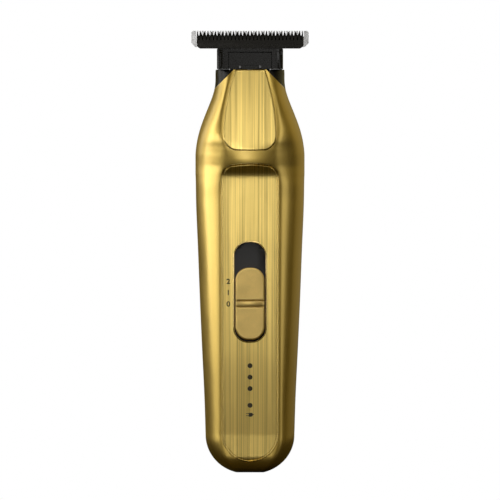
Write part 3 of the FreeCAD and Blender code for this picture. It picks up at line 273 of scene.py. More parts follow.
def ring(z, inset=0.0):
    """Points round the body at a height: the flat front band, then a smooth sweep round."""
    width, front, rear = form_at(z)
    band = band_half(z, width) - BAND_SHRINK * inset
    crease = front
    if inset == 0:
        front, crease = swell_depth(z, front), crease_depth(z, front)
    width, front, crease, rear = width - inset, front - inset, crease - inset, rear - inset
    right = [(band * i / BAND_STEPS, -front + (front - crease) * (i / BAND_STEPS) ** 2)
             for i in range(BAND_STEPS)]
    at_bridge = (ease(SHOULDER - 10.4, SHOULDER - 1.4, z)
                 * (1 - ease(SHOULDER + 2.6, SHOULDER + 13.6, z)))
    start = math.radians(CREASE + (BRIDGE_CREASE - CREASE) * at_bridge)
    for i in range(SIDE_STEPS + 1):
        angle = start + (math.pi / 2 - start) * i / SIDE_STEPS
        out = (math.sin(angle) - math.sin(start)) / (1 - math.sin(start))
        right.append((band + (width - band) * out,
                      WIDEST_Y - (WIDEST_Y + crease) * math.cos(angle) / math.cos(start)))
    for i in range(1, REAR_STEPS + 1):
        angle = math.pi / 2 * i / REAR_STEPS
        right.append((width * max(0.0, math.cos(angle)) ** ROUND_POWER,
                      WIDEST_Y + (rear - WIDEST_Y) * math.sin(angle) ** ROUND_POWER))
    first, last = BAND_STEPS - 3, BAND_STEPS + 11
    for _ in range(3):
        # rounds the crease off
        before, here, after = (right[first + k:last + k] for k in (-1, 0, 1))
        right[first:last] = [((a[0] + 2 * b[0] + c[0]) / 4, (a[1] + 2 * b[1] + c[1]) / 4)
                             for a, b, c in zip(before, here, after)]
    left = [(-x, y) for x, y in reversed(right[1:-1])]
    return [(x, y, z) for x, y in right + left]


def heights(low=0.0, high=BODY_TOP):
    """Heights of the rings, closer together at the rounded end and on the scoop."""
    cap_rings = 26
    scoop_low, scoop_high = from_shoulder(-8.4, 4.6)
    rows = [CAP - CAP_FULL * math.cos(CAP_LOWEST + (math.pi / 2 - CAP_LOWEST) * i / cap_rings)
            for i in range(cap_rings)]
    rows += list(np.arange(CAP, scoop_low, 1.7))
    rows += list(np.arange(scoop_low, scoop_high, 0.35))
    rows += list(np.arange(scoop_high, BODY_TOP, 0.8))
    rows = [z for z in rows if low + 0.05 < z < high - 0.05]
    return [low] + rows + [high]


# ---- mesh helpers --------------------------------------------------------------------------

def smooth(obj, angle=32):
    """Smooth shading, with edges sharper than the angle kept crisp."""
    mesh = obj.data
    mesh.polygons.foreach_set("use_smooth", [True] * len(mesh.polygons))
    mesh.set_sharp_from_angle(angle=math.radians(angle))


def make_object(name, bm):
    """The mesh in millimetres as an object in metres, its faces turned outwards."""
    bmesh.ops.recalc_face_normals(bm, faces=bm.faces)
    mesh = bpy.data.meshes.new(name)
    bm.to_mesh(mesh)
    bm.free()
    mesh.transform(((MM, 0, 0, 0), (0, MM, 0, 0), (0, 0, MM, 0), (0, 0, 0, 1)))
    obj = bpy.data.objects.new(name, mesh)
    bpy.context.scene.collection.objects.link(obj)
    return obj


def bridge_rings(bm, first, second):
    count = len(first)
    for i in range(count):
        j = (i + 1) % count
        bm.faces.new((first[i], first[j], second[j], second[i]))


def prism(name, low, high):
    """A closed solid between two outlines of the same length."""
    bm = bmesh.new()
    add_prism(bm, low, high)
    return make_object(name, bm)


def add_prism(bm, low, high):
    rows = [[bm.verts.new(point) for point in outline] for outline in (low, high)]
    bridge_rings(bm, *rows)
    bm.faces.new(rows[0])
    bm.faces.new(rows[1][::-1])


def turned(name, profile, sides=48):
    """A solid turned about the Z axis from (radius, height) points, closed on its axis."""
    bm = bmesh.new()
    loops = []
    for radius, z in profile:
        loops.append([bm.verts.new((radius * math.cos(2 * math.pi * i / sides),
                                    radius * math.sin(2 * math.pi * i / sides), z))
                      for i in range(sides)])
    for first, second in zip(loops, loops[1:]):
        bridge_rings(bm, first, second)
    bm.faces.new(loops[0])
    bm.faces.new(loops[-1])
    return make_object(name, bm)


def skin_rings(bm, inset, low, high):
    rings = [[bm.verts.new(p) for p in ring(z, inset)] for z in heights(low, high)]
    for first, second in zip(rings, rings[1:]):
        bridge_rings(bm, first, second)
    return rings


def closed_form(name, inset, low, high):
    """The body's form as one closed solid."""
    bm = bmesh.new()
    rings = skin_rings(bm, inset, low, high)
    bm.faces.new(rings[0])
    bm.faces.new(rings[-1])
    return make_object(name, bm)


def shell_form(name):
    """The body as a closed wall, open at its top."""
    bm = bmesh.new()
    outside = skin_rings(bm, 0.0, 0.0, BODY_TOP)
    inside = skin_rings(bm, WALL, FLOOR_WALL, BODY_TOP)
    bm.faces.new(outside[0])
    bm.faces.new(inside[0])
    bridge_rings(bm, outside[-1], inside[-1])
    return make_object(name, bm)


def box(name, low, high):
    bm = bmesh.new()
    bmesh.ops.create_cube(bm, size=1)
    low, high = Vector(low), Vector(high)
    for vert in bm.verts:
        vert.co = Vector(low[i] + (high[i] - low[i]) * (vert.co[i] + 0.5) for i in range(3))
    return make_object(name, bm)


def bar(name, x, z, radius, low, high, sides=48):
    """A round bar along Y."""
    bm = bmesh.new()
    ends = []
    for y in (low, high):
        ends.append([bm.verts.new((x + radius * math.cos(2 * math.pi * i / sides), y,
                                   z + radius * math.sin(2 * math.pi * i / sides)))
                     for i in range(sides)])
    bridge_rings(bm, *ends)
    for end in ends:
        bm.faces.new(end)
    return make_object(name, bm)


def join(objects, name):
    """Several objects' meshes as one object."""
    bm = bmesh.new()
    for obj in objects:
        bm.from_mesh(obj.data)
        bpy.data.objects.remove(obj)
    mesh = bpy.data.meshes.new(name)
    bm.to_mesh(mesh)
    bm.free()
    joined = bpy.data.objects.new(name, mesh)
    bpy.context.scene.collection.objects.link(joined)
    return joined


def apply_all(obj):
    """Turns the object's modifiers into its mesh."""
    bpy.context.view_layer.update()
    evaluated = obj.evaluated_get(bpy.context.evaluated_depsgraph_get())
    mesh = bpy.data.meshes.new_from_object(evaluated)
    obj.modifiers.clear()
    obj.data = mesh


def boolean(obj, cutter, operation="DIFFERENCE"):
    modifier = obj.modifiers.new("boolean", "BOOLEAN")
    modifier.object = cutter
    modifier.operation = operation
    modifier.solver = "EXACT"
    apply_all(obj)
    bpy.data.objects.remove(cutter)
    return obj


def bevel(obj, width, segments=2, angle=35):
    modifier = obj.modifiers.new("bevel", "BEVEL")
    modifier.width = width * MM
    modifier.segments = segments
    modifier.limit_method = "ANGLE"
    modifier.angle_limit = math.radians(angle)


# ---- outlines: the right half, from the bottom centre up to the top centre -------------------

def arc(cx, cz, radius, start, end, count):
    return [(cx + radius * math.cos(math.radians(start + (end - start) * i / count)),
             cz + radius * math.sin(math.radians(start + (end - start) * i / count)))
            for i in range(1, count + 1)]


def line(start, end, count):
    return [(start[0] + (end[0] - start[0]) * i / count,
             start[1] + (end[1] - start[1]) * i / count) for i in range(1, count + 1)]


def panel_side(inset):
    centre = PANEL_LOW + PANEL_HALF
    shoulder = PANEL_HIGH - PANEL_ARCH
    half = PANEL_HALF - inset
    points = [(0.0, PANEL_LOW + inset)]
    points += arc(0, centre, half, -90, 0, 26)
    points += line((half, centre), (half, shoulder - PANEL_CORNER), 110)
    points += arc(PANEL_HALF - PANEL_CORNER, shoulder - PANEL_CORNER, PANEL_CORNER - inset, 0, 90,
                  12)
    flat = PANEL_HALF - PANEL_CORNER
    points += [(x, shoulder - inset + PANEL_ARCH * (1 - (x / flat) ** 2))
               for x in (flat * (1 - i / 8) for i in range(1, 9))]
    return points


def plate_side(inset, high=BODY_TOP):
    flat = PLATE_HALF - PLATE_CORNER
    points = [(0.0, PLATE_LOW + inset)] + line((0, PLATE_LOW + inset), (flat, PLATE_LOW + inset), 5)
    points += arc(flat, PLATE_LOW + PLATE_CORNER, PLATE_CORNER - inset, -90, 0, 12)
    start = PLATE_LOW + PLATE_CORNER
    for i in range(1, 31):
        z = start + (high - inset - start) * i / 30
        points.append((plate_half(z) - inset, z))
    return points + line(points[-1], (0, high - inset), 5)


def rounded_side(half, low, high, corner, inset, steps=20):
    flat = half - corner
    points = [(0.0, low + inset)] + line((0, low + inset), (flat, low + inset), 4)
    points += arc(flat, low + corner, corner - inset, -90, 0, 12)
    points += line((half - inset, low + corner), (half - inset, high - corner), steps)
    points += arc(flat, high - corner, corner - inset, 0, 90, 12)
    return points + line((flat, high - inset), (0, high - inset), 4)


def plate_solid(name, side, steps, back, surface, columns=14):
    """A plate with the outline side(inset). Steps are (inset, depth) from its back edge round
    to its front face, back is the depth of its back face, and surface(z) is its depth 0."""
    bm = bmesh.new()

    def loop(inset, depth):
        right = side(inset)
        points = right + [(-x, z) for x, z in reversed(right[1:-1])]
        return [bm.verts.new((x, surface(z, x) + depth, z)) for x, z in points]

    def ladder(verts):
        """Fills a loop with level rows of quads."""
        last = len(verts) // 2
        rows = []
        for i in range(last + 1):
            right, left = verts[i], verts[-i % len(verts)]
            if right is left:
                rows.append([right])
                continue
            depth = right.co.y - surface(right.co.z, right.co.x)
            between = []
            for j in range(1, columns):
                x, _, z = right.co.lerp(left.co, j / columns)
                between.append(bm.verts.new((x, surface(z, x) + depth, z)))
            rows.append([right] + between + [left])
        for here, there in zip(rows, rows[1:]):
            for j in range(columns):
                a, b = here[min(j, len(here) - 1)], here[min(j + 1, len(here) - 1)]
                c, d = there[min(j + 1, len(there) - 1)], there[min(j, len(there) - 1)]
                corners = []
                for vert in (a, b, c, d):
                    if vert not in corners:
                        corners.append(vert)
                if len(corners) > 2:
                    bm.faces.new(corners)

    loops = [loop(side_inset, depth) for side_inset, depth in [(steps[0][0], back)] + steps]
    for first, second in zip(loops, loops[1:]):
        bridge_rings(bm, first, second)
    ladder(loops[-1])
    ladder(loops[0])
    bmesh.ops.remove_doubles(bm, verts=bm.verts, dist=1e-5)
    return make_object(name, bm)


# ---- node helpers --------------------------------------------------------------------------

class Maker:
    """Builds one node material."""

    def __init__(self, name):
        self.material = bpy.data.materials.new(name)
        self.material.use_nodes = True
        self.tree = self.material.node_tree
        self.shader = self.tree.nodes["Principled BSDF"]
        self.place = self.tree.nodes.new("ShaderNodeTexCoord").outputs["Object"]

    def add(self, kind, **settings):
        item = self.tree.nodes.new(kind)
        for name, value in settings.items():
            setattr(item, name, value)
        return item

    def link(self, start, end):
        self.tree.links.new(start, end)

    def set(self, **values):
        for name, value in values.items():
            self.shader.inputs[name.replace("_", " ")].default_value = value

    def noise(self, stretch, detail=2.0, roughness=0.5):
        """Noise whose grains are 1 / stretch metres along each axis."""
        mapping = self.add("ShaderNodeMapping")
        mapping.inputs["Scale"].default_value = stretch
        self.link(self.place, mapping.inputs["Vector"])
        item = self.add("ShaderNodeTexNoise")
        item.inputs["Scale"].default_value = 1.0
        item.inputs["Detail"].default_value = detail
        item.inputs["Roughness"].default_value = roughness
        self.link(mapping.outputs["Vector"], item.inputs["Vector"])
        return item.outputs["Fac"]

    def spread(self, value, low, high, start=0.3, end=0.7):
        """Maps the values from start to end onto low to high."""
        item = self.add("ShaderNodeMapRange")
        for name, number in (("From Min", start), ("From Max", end), ("To Min", low),
                             ("To Max", high)):
            item.inputs[name].default_value = number
        self.link(value, item.inputs["Value"])
        return item.outputs["Result"]

    def sum(self, first, second, operation="ADD"):
        """Adds two values, or multiplies them; the second may be a number."""
        item = self.add("ShaderNodeMath", operation=operation)
        self.link(first, item.inputs[0])
        if isinstance(second, float):
            item.inputs[1].default_value = second
        else:
            self.link(second, item.inputs[1])
        return item.outputs[0]

    def ramp(self, value, stops):
        item = self.add("ShaderNodeValToRGB")
        elements = item.color_ramp.elements
        while len(elements) < len(stops):
            elements.new(0.5)
        for element, (position, colour) in zip(elements, stops):
            element.position = position
            element.color = (*colour, 1)
        self.link(value, item.inputs["Fac"])
        return item.outputs["Color"]

    def bump(self, value, strength, distance):
        item = self.add("ShaderNodeBump")
        item.inputs["Strength"].default_value = strength
        item.inputs["Distance"].default_value = distance
        self.link(value, item.inputs["Height"])
        self.link(item.outputs["Normal"], self.shader.inputs["Normal"])


def shade(colour, share):
    return tuple(channel * share for channel in colour)


def brushed(name, colour, along, rough=0.34, contrast=0.22, depth=0.5):
    """Metal brushed along one axis: broad, middle and hair-fine streaks."""
    m = Maker(name)
    fine, broad, length = 5200.0, 420.0, 9.0

    def stretch(across):
        # brushing along Z leans with the face, so depth must not break the streaks
        scales = [length if axis == along else across for axis in range(3)]
        if along == 2:
            scales[1] = length
        return tuple(scales)

    wide = m.noise(stretch(broad), 3.0, 0.6)
    middle = m.noise(stretch(broad * 4), 2.0, 0.6)
    hair = m.noise(stretch(fine), 2.0, 0.7)
    streaks = m.sum(m.sum(wide, middle), hair)
    mixed = m.sum(streaks, 1 / 3, "MULTIPLY")
    stops = ((0.4, shade(colour, 1 - contrast)), (0.5, colour),
             (0.6, shade(colour, 1 + contrast * 0.7)))
    m.link(m.ramp(mixed, stops), m.shader.inputs["Base Color"])
    m.link(m.spread(mixed, rough + 0.07, rough - 0.05), m.shader.inputs["Roughness"])
    m.bump(m.sum(hair, middle), depth, 0.00002)
    m.set(Metallic=1.0)
    return m.material


def lacquer(name, colour, rough, peel=0.12, coat=0.4):
    """Metallic lacquer: a faint orange peel and slow changes of gloss."""
    m = Maker(name)
    slow = m.noise((90.0, 90.0, 60.0), 3.0)
    flake = m.noise((6500.0, 6500.0, 6500.0), 1.0)
    peel_height = m.noise((1400.0, 1400.0, 1400.0), 2.0)
    tint = m.sum(m.sum(slow, flake), 0.5, "MULTIPLY")
    m.link(m.ramp(tint, ((0.38, shade(colour, 0.93)), (0.62, shade(colour, 1.05)))),
           m.shader.inputs["Base Color"])
    m.link(m.spread(slow, rough - 0.02, rough + 0.03), m.shader.inputs["Roughness"])
    m.bump(m.sum(peel_height, flake), peel, 0.00001)
    m.set(Metallic=1.0, Coat_Weight=coat, Coat_Roughness=0.22)
    return m.material


def plastic(name, colour, rough, grain=2600.0, depth=0.25, gloss=0.5):
    """Moulded plastic with a fine spark-eroded grain."""
    m = Maker(name)
    slow = m.noise((70.0, 70.0, 70.0), 3.0)
    fine = m.noise((grain, grain, grain), 3.0, 0.6)
    m.link(m.ramp(m.sum(m.sum(slow, fine), 0.5, "MULTIPLY"),
                  ((0.35, shade(colour, 0.82)), (0.65, shade(colour, 1.2)))),
           m.shader.inputs["Base Color"])
    m.link(m.spread(fine, rough - 0.06, rough + 0.08), m.shader.inputs["Roughness"])
    m.bump(fine, depth, 0.00002)
    m.set(Specular_IOR_Level=gloss)
    return m.material


def metal(name, colour, rough, grain=1800.0, depth=0.15):
    """Plain metal with a fine tumbled or ground grain."""
    m = Maker(name)
    fine = m.noise((grain, grain, grain), 3.0, 0.6)
    slow = m.noise((150.0, 150.0, 150.0), 2.0)
    m.link(m.ramp(m.sum(m.sum(slow, fine), 0.5, "MULTIPLY"),
                  ((0.36, shade(colour, 0.86)), (0.64, shade(colour, 1.1)))),
           m.shader.inputs["Base Color"])
    m.link(m.spread(fine, rough - 0.05, rough + 0.07), m.shader.inputs["Roughness"])
    m.bump(fine, depth, 0.00001)
    m.set(Metallic=1.0)
    return m.material


GOLD = (0.80, 0.57, 0.145)
PALE_GOLD = (0.79, 0.59, 0.185)
gold_lacquer = lacquer("gold_lacquer", GOLD, 0.36)
brushed_gold = brushed("brushed_gold", PALE_GOLD, 2, contrast=0.36, depth=0.6)
polished_gold = metal("polished_gold_edge", (0.80, 0.62, 0.30), 0.2)
knob_gold = metal("knob_gold", (0.78, 0.565, 0.20), 0.42, 4200.0, 0.35)
black_plastic = plastic("black_plastic", (0.004, 0.004, 0.0042), 0.28, depth=0.05, gloss=0.22)
dark_plastic = plastic("dark_plastic", (0.028, 0.029, 0.034), 0.5)
inner_plastic = plastic("inner_plastic", (0.06, 0.06, 0.065), 0.5)
rubber = plastic("seal_rubber", (0.012, 0.012, 0.012), 0.75)
blade_steel = metal("blade_steel", (0.36, 0.36, 0.365), 0.3, 900.0, 0.04)
black_steel = metal("black_steel", (0.011, 0.0105, 0.0095), 0.26, 900.0, 0.04)
spring_steel = metal("spring_steel", (0.42, 0.42, 0.44), 0.3)
screw_steel = metal("screw_steel", (0.36, 0.36, 0.37), 0.34)
zinc = metal("die_cast_zinc", (0.17, 0.17, 0.18), 0.45)
laminations = brushed("laminations", (0.16, 0.16, 0.17), 0, rough=0.45)
copper = brushed("copper_winding", (0.72, 0.30, 0.13), 0, rough=0.3)
brass = metal("plated_brass", (0.75, 0.55, 0.22), 0.28)
magnet = metal("magnet_nickel", (0.6, 0.6, 0.6), 0.25)
board_green = plastic("board_green", (0.01, 0.12, 0.05), 0.35)
cell_wrap = plastic("cell_wrap", (0.03, 0.10, 0.30), 0.3)
smoky = plastic("smoky_lens", (0.035, 0.026, 0.014), 0.16, depth=0.03, gloss=0.6)
led_chip = plastic("led_chip", (0.75, 0.72, 0.55), 0.3)
print_ink = plastic("print_ink", (0.035, 0.027, 0.012), 0.6)

SLOT_MATERIALS = {
    "gold_lacquer": gold_lacquer, "brushed_gold": brushed_gold, "knob_gold": knob_gold,
    "black_plastic": black_plastic, "dark_plastic": dark_plastic,
    "inner_plastic": inner_plastic, "blade_steel": blade_steel, "black_steel": black_steel,
    "smoky_lens": smoky, "led": led_chip, "board": board_green, "copper": copper,
    "brass": brass, "laminations": laminations, "magnet": magnet,
    "spring_steel": spring_steel, "zinc": zinc, "screw_steel": screw_steel,
    "cell_wrap": cell_wrap, "seal_rubber": rubber,
}

# every CAD node gets its slot's material and welded corners, and a few get rounded edges too
NODE_SLOTS = {row["node"]: row["material_slot"] for row in frame["record"]["subparts"]}
FINE_EDGES = {"fixed_blade": 0.05, "blade_block_frame": 0.12,
              "blade_block_cover": 0.15, "neck_collar": 0.05, "charging_inlet": 0.15}
WELD_REACH = 1e-6
for node, obj in frame["nodes"].items():
    obj.data.materials.clear()
    obj.data.materials.append(SLOT_MATERIALS[NODE_SLOTS[node]])
    weld = obj.modifiers.new("weld", "WELD")
    weld.merge_threshold = WELD_REACH
    if node in FINE_EDGES:
        bevel(obj, FINE_EDGES[node])


def finish_piece(obj, body, slot_name, *replaced):
    """Puts the piece on its body and in place of its CAD nodes; the slot name is not used."""
    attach(obj, body)
    if replaced:
        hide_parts(*replaced)
    return obj


# ---- housings ------------------------------------------------------------------------------

def wedge_pair():
    """The two corners cut from the top of the housings."""
    bm = bmesh.new()
    low, high = BODY_TOP - CORNER_DROP, BODY_TOP + 0.01
    for side in (1, -1):
        corners = [(side * CORNER_START, high), (side * (CORNER_START + CORNER_DROP + 0.01), low),
                   (side * WEDGE_REACH, low), (side * WEDGE_REACH, high)]
        add_prism(bm, *[[(x, y, z) for x, z in corners] for y in (-DEPTH_REACH, DEPTH_REACH)])
    return make_object("wedges", bm)


def recess(name, side, grow, depth, rise=1.5):
    """A cutter for a recess that follows the front face."""
    return plate_solid(name, lambda inset: side(inset - grow), [(0.0, -rise)], depth, front_y)


def slot_side(inset):
    return rounded_side(inset=inset, **SLOT)


def inlet_cutter():
    return turned("inlet_cutter", [(INLET_RADIUS, -1.0), (INLET_RADIUS, 12.0)])


def slab(name, front, back):
    """Everything between two depths, to cut the body along its seam."""
    return box(name, (-BEYOND, front, -5), (BEYOND, back, 200))


def lens_holes(gap):
    return join([bar("lens_hole", 0, z, LENS_RADIUS + gap, -30, -8) for z in LENS_HEIGHTS],
                "lens_holes")


def make_front_housing():
    obj = shell_form("front_shell")
    boolean(obj, slab("before_seam", -BEYOND, SEAM_Y - SEAM_GAP / 2), "INTERSECT")
    boolean(obj, recess("panel_recess", panel_side, FIT, PANEL_THICK + FIT, 4.0))
    boolean(obj, recess("plate_recess", lambda i: plate_side(i, BODY_TOP + 1), FIT, PLATE_THICK + 0.15))
    boolean(obj, recess("bed_recess", slot_side, BED_MARGIN + FIT, WALL + 0.5))
    boolean(obj, lens_holes(FIT))
    boolean(obj, inlet_cutter())
    boolean(obj, wedge_pair())
    obj.data.materials.append(gold_lacquer)
    smooth(obj)
    return finish_piece(obj, "body", "gold_lacquer", "front_housing")


def make_rear_housing():
    obj = shell_form("rear_shell")
    boolean(obj, slab("behind_seam", SEAM_Y + SEAM_GAP / 2, BEYOND), "INTERSECT")
    boolean(obj, inlet_cutter())
    boolean(obj, wedge_pair())
    low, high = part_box("housing_screws")
    middle = (low.x + high.x) / 2 / MM
    places = ((middle, LOWER_SCREW_Z), (UPPER_SCREW_X, UPPER_SCREW_Z),
              (-UPPER_SCREW_X, UPPER_SCREW_Z))
    holes = [bar("screw_hole", x, z, SCREW_RADIUS, SEAM_Y + 2, DEPTH_REACH) for x, z in places]
    boolean(obj, join(holes, "screw_holes"))
    obj.data.materials.append(gold_lacquer)
    smooth(obj)
    return finish_piece(obj, "body", "gold_lacquer", "rear_housing")


def make_seam_tongue():
    """The dark tongue inside the seam, which keeps light from passing through it."""
    outside, inside, half_band = 0.6, 1.5, 0.5
    obj = closed_form("seam_tongue", outside, 1.5, BODY_TOP - CORNER_DROP - 1)
    boolean(obj, closed_form("tongue_bore", inside, 2.4, BODY_TOP - CORNER_DROP))
    boolean(obj, slab("tongue_band", SEAM_Y - half_band, SEAM_Y + half_band), "INTERSECT")
    boolean(obj, inlet_cutter())
    obj.data.materials.append(inner_plastic)
    smooth(obj)
    return finish_piece(obj, "body", "inner_plastic")


# ---- panel and plate -----------------------------------------------------------------------

# from the edge inwards: (inset, depth below the face). The panel has a rim and then a groove.
PANEL_STEPS = [(0.0, 0.2), (0.05, 0.04), (0.12, 0.0), (0.38, 0.0), (0.44, 0.06), (0.47, 0.45),
               (0.8, 0.45), (0.83, 0.08), (0.93, 0.0), (1.2, 0.0)]
PLATE_STEPS = [(0.0, 0.2), (0.03, 0.0), (0.07, -0.04), (0.33, -0.33), (0.4, -0.36), (0.7, -0.36)]
KNOB_STEPS = [(0.0, 0.5), (0.03, 0.34), (0.1, 0.2), (0.28, 0.05), (0.4, 0.0), (0.7, 0.0)]


def make_panel():
    obj = plate_solid("brushed_panel", panel_side, PANEL_STEPS, PANEL_THICK, front_y, columns=18)
    boolean(obj, plate_solid("slot_cutter", slot_side, [(0.0, -2.0)], 3.0, front_y))
    boolean(obj, lens_holes(FIT / 2))
    obj.data.materials.append(brushed_gold)
    smooth(obj, 25)
    return finish_piece(obj, "body", "brushed_gold", "front_panel")


def make_slot_edge():
    """The bright bead round the switch opening."""
    bm = bmesh.new()

    def loop(inset, depth):
        right = slot_side(inset)
        points = right + [(-x, z) for x, z in reversed(right[1:-1])]
        return [bm.verts.new((x, front_y(z) + depth, z)) for x, z in points]

    bead = ((-0.4, 0.02), (-0.3, -0.06), (-0.16, -0.08), (-0.05, -0.03), (0.0, 0.1), (0.0, 0.6),
            (-0.1, 0.6))
    loops = [loop(inset, depth) for inset, depth in bead]
    for first, second in zip(loops, loops[1:] + loops[:1]):
        bridge_rings(bm, first, second)
    obj = make_object("slot_edge", bm)
    obj.data.materials.append(polished_gold)
    smooth(obj)
    return finish_piece(obj, "body", "brushed_gold")


def make_plate():
    obj = plate_solid("brushed_top_plate", plate_side, PLATE_STEPS, PLATE_THICK, front_y)
    obj.data.materials.append(brushed_gold)
    smooth(obj, 25)
    return finish_piece(obj, "body", "brushed_gold", "top_face_plate")


# ---- switch --------------------------------------------------------------------------------

KNOB_FACE = front_y((SLOT["low"] + SLOT["high"]) / 2) - KNOB_PROUD
NOTCH_Z = 63.3
NOTCH_HALF = 1.3
NOTCH_BEYOND = 9
RIDGE_HALF = 0.87
RIDGE_SLANT = 1.0


def knob_side(inset):
    return rounded_side(inset=inset, steps=40, **KNOB)


def make_knob():
    obj = plate_solid("thumb_slide", knob_side, KNOB_STEPS, KNOB_THICK, lambda z, x: KNOB_FACE)
    # half the notch: how far past it, and how deep
    shape = ((0.42, -0.5), (0.34, 0.0), (0.12, 0.07), (0.0, 0.25), (0.0, 1.9))
    outline = [(NOTCH_Z + NOTCH_HALF + grow, depth) for grow, depth in shape]
    outline += [(NOTCH_Z - NOTCH_HALF - grow, depth) for grow, depth in reversed(shape)]
    ends = [[(x, KNOB_FACE + depth, z) for z, depth in outline]
            for x in (-NOTCH_BEYOND, NOTCH_BEYOND)]
    boolean(obj, prism("notch", *ends))
    obj.data.materials.append(knob_gold)
    smooth(obj, 25)
    return finish_piece(obj, "switch", "knob_gold", "switch_knob")


def make_ridge():
    """The raised bar in the thumb slide's notch, with its ends cut on a slant."""
    half = KNOB["half"] - FIT
    left = [(-half, 1.85), (-half, 0.6), (-half + RIDGE_SLANT, 0.02)]
    outline = left + [(-x, depth) for x, depth in reversed(left)]
    obj = prism("thumb_ridge", *[[(x, KNOB_FACE + depth, NOTCH_Z + side * RIDGE_HALF)
                                  for x, depth in outline] for side in (-1, 1)])
    obj.data.materials.append(knob_gold)
    bevel(obj, 0.1)
    apply_all(obj)
    smooth(obj, 30)
    return finish_piece(obj, "switch", "knob_gold")


# ---- blade and neck ------------------------------------------------------------------------

CUTTER_HALF = 20.0
CUTTER_LOW = BODY_TOP + 7.9
CUTTER_TIP = BODY_TOP + 14.3
CUTTER_FRONT = -3.22
CUTTER_BACK = -1.52
CUTTER_CORNER = 1.7
CUTTER_STEM = (5.5, BODY_TOP + 1.6)
EDGE = 0.15
TOOTH_PITCH = 1.372
TOOTH_LEAN = 0.35
TOOTH_LEAN_START = BODY_TOP + 12.2
# a tooth gap's half-width at the tips and at its floor, and a groove's half-width and depth
GAP_HALF = (0.6, 0.13)
GAP_FLOOR = BODY_TOP + 12.9
GROOVE_HALF = 0.3
GROOVE_DEPTH = 0.25
GROOVE_LOW = BODY_TOP + 11.1
FACET = BODY_TOP + 10.55
FACET_HEIGHT = 0.35
FACET_DEPTH = 0.1
BLOCK_FRONT = -10.5
BLOCK_FOOT = BODY_TOP + 0.2
BLOCK_LEAN = 0.495


def cutter_face(z):
    """Front of the tooth faces: upright, then leaning back towards the tips."""
    return CUTTER_FRONT + FACET_DEPTH + max(z - TOOTH_LEAN_START, 0) * TOOTH_LEAN


def cutter_bar():
    """The cutter before its teeth are cut: a bar with a facet and rounded lower corners."""
    side = [(CUTTER_FRONT, CUTTER_LOW + EDGE), (CUTTER_FRONT, FACET),
            (cutter_face(FACET), FACET + FACET_HEIGHT), (cutter_face(FACET), TOOTH_LEAN_START),
            (cutter_face(CUTTER_TIP), CUTTER_TIP), (CUTTER_BACK, CUTTER_TIP),
            (CUTTER_BACK, CUTTER_LOW), (CUTTER_FRONT + EDGE, CUTTER_LOW)]
    obj = prism("cutter", *[[(end * CUTTER_HALF, y, z) for y, z in side] for end in (-1, 1)])
    corners = arc(CUTTER_HALF - CUTTER_CORNER, CUTTER_LOW + CUTTER_CORNER, CUTTER_CORNER, -90, 0, 8)
    corners += [(CUTTER_HALF, CUTTER_TIP - 0.5), (CUTTER_HALF - 0.3, CUTTER_TIP + 0.2)]
    outline = corners + [(-x, z) for x, z in reversed(corners)]
    ends = [[(x, y, z) for x, z in outline] for y in (-6.0, 1.0)]
    return boolean(obj, prism("cutter_outline", *ends), "INTERSECT")


def make_cutter():
    """Black cutter: a deep bar, a facet, grooved tooth faces and pointed teeth."""
    obj = cutter_bar()
    gaps = bmesh.new()
    grooves = bmesh.new()
    last = int(CUTTER_HALF / TOOTH_PITCH)
    for x in (index * TOOTH_PITCH for index in range(-last, last + 1)):
        right = [(GAP_HALF[1], GAP_FLOOR), (GAP_HALF[0], CUTTER_TIP + 0.1)]
        outline = [(x - out, z) for out, z in reversed(right)] + [(x + out, z) for out, z in right]
        add_prism(gaps, *[[(px, y, z) for px, z in outline] for y in (-5.0, 0.0)])
        add_prism(grooves, *[[(x - GROOVE_HALF, cutter_face(z) - 0.12, z),
                              (x + GROOVE_HALF, cutter_face(z) - 0.12, z),
                              (x, cutter_face(z) + GROOVE_DEPTH, z)]
                             for z in (GROOVE_LOW, TOOTH_LEAN_START)])
    boolean(obj, make_object("cutter_gaps", gaps))
    boolean(obj, make_object("cutter_grooves", grooves))
    stem_half, stem_low = CUTTER_STEM
    stem = box("cutter_stem", (-stem_half, CUTTER_FRONT, stem_low),
               (stem_half, CUTTER_BACK, CUTTER_LOW + 0.5))
    boolean(obj, stem, "UNION")
    obj.data.materials.clear()
    obj.data.materials.append(black_steel)
    smooth(obj, 20)
    return finish_piece(obj, "cutter", "black_steel", "cutter_blade")


def block_front(z):
    """The blade block's front face, which leans back towards the blade."""
    return BLOCK_FRONT + (z - BLOCK_FOOT) * BLOCK_LEAN


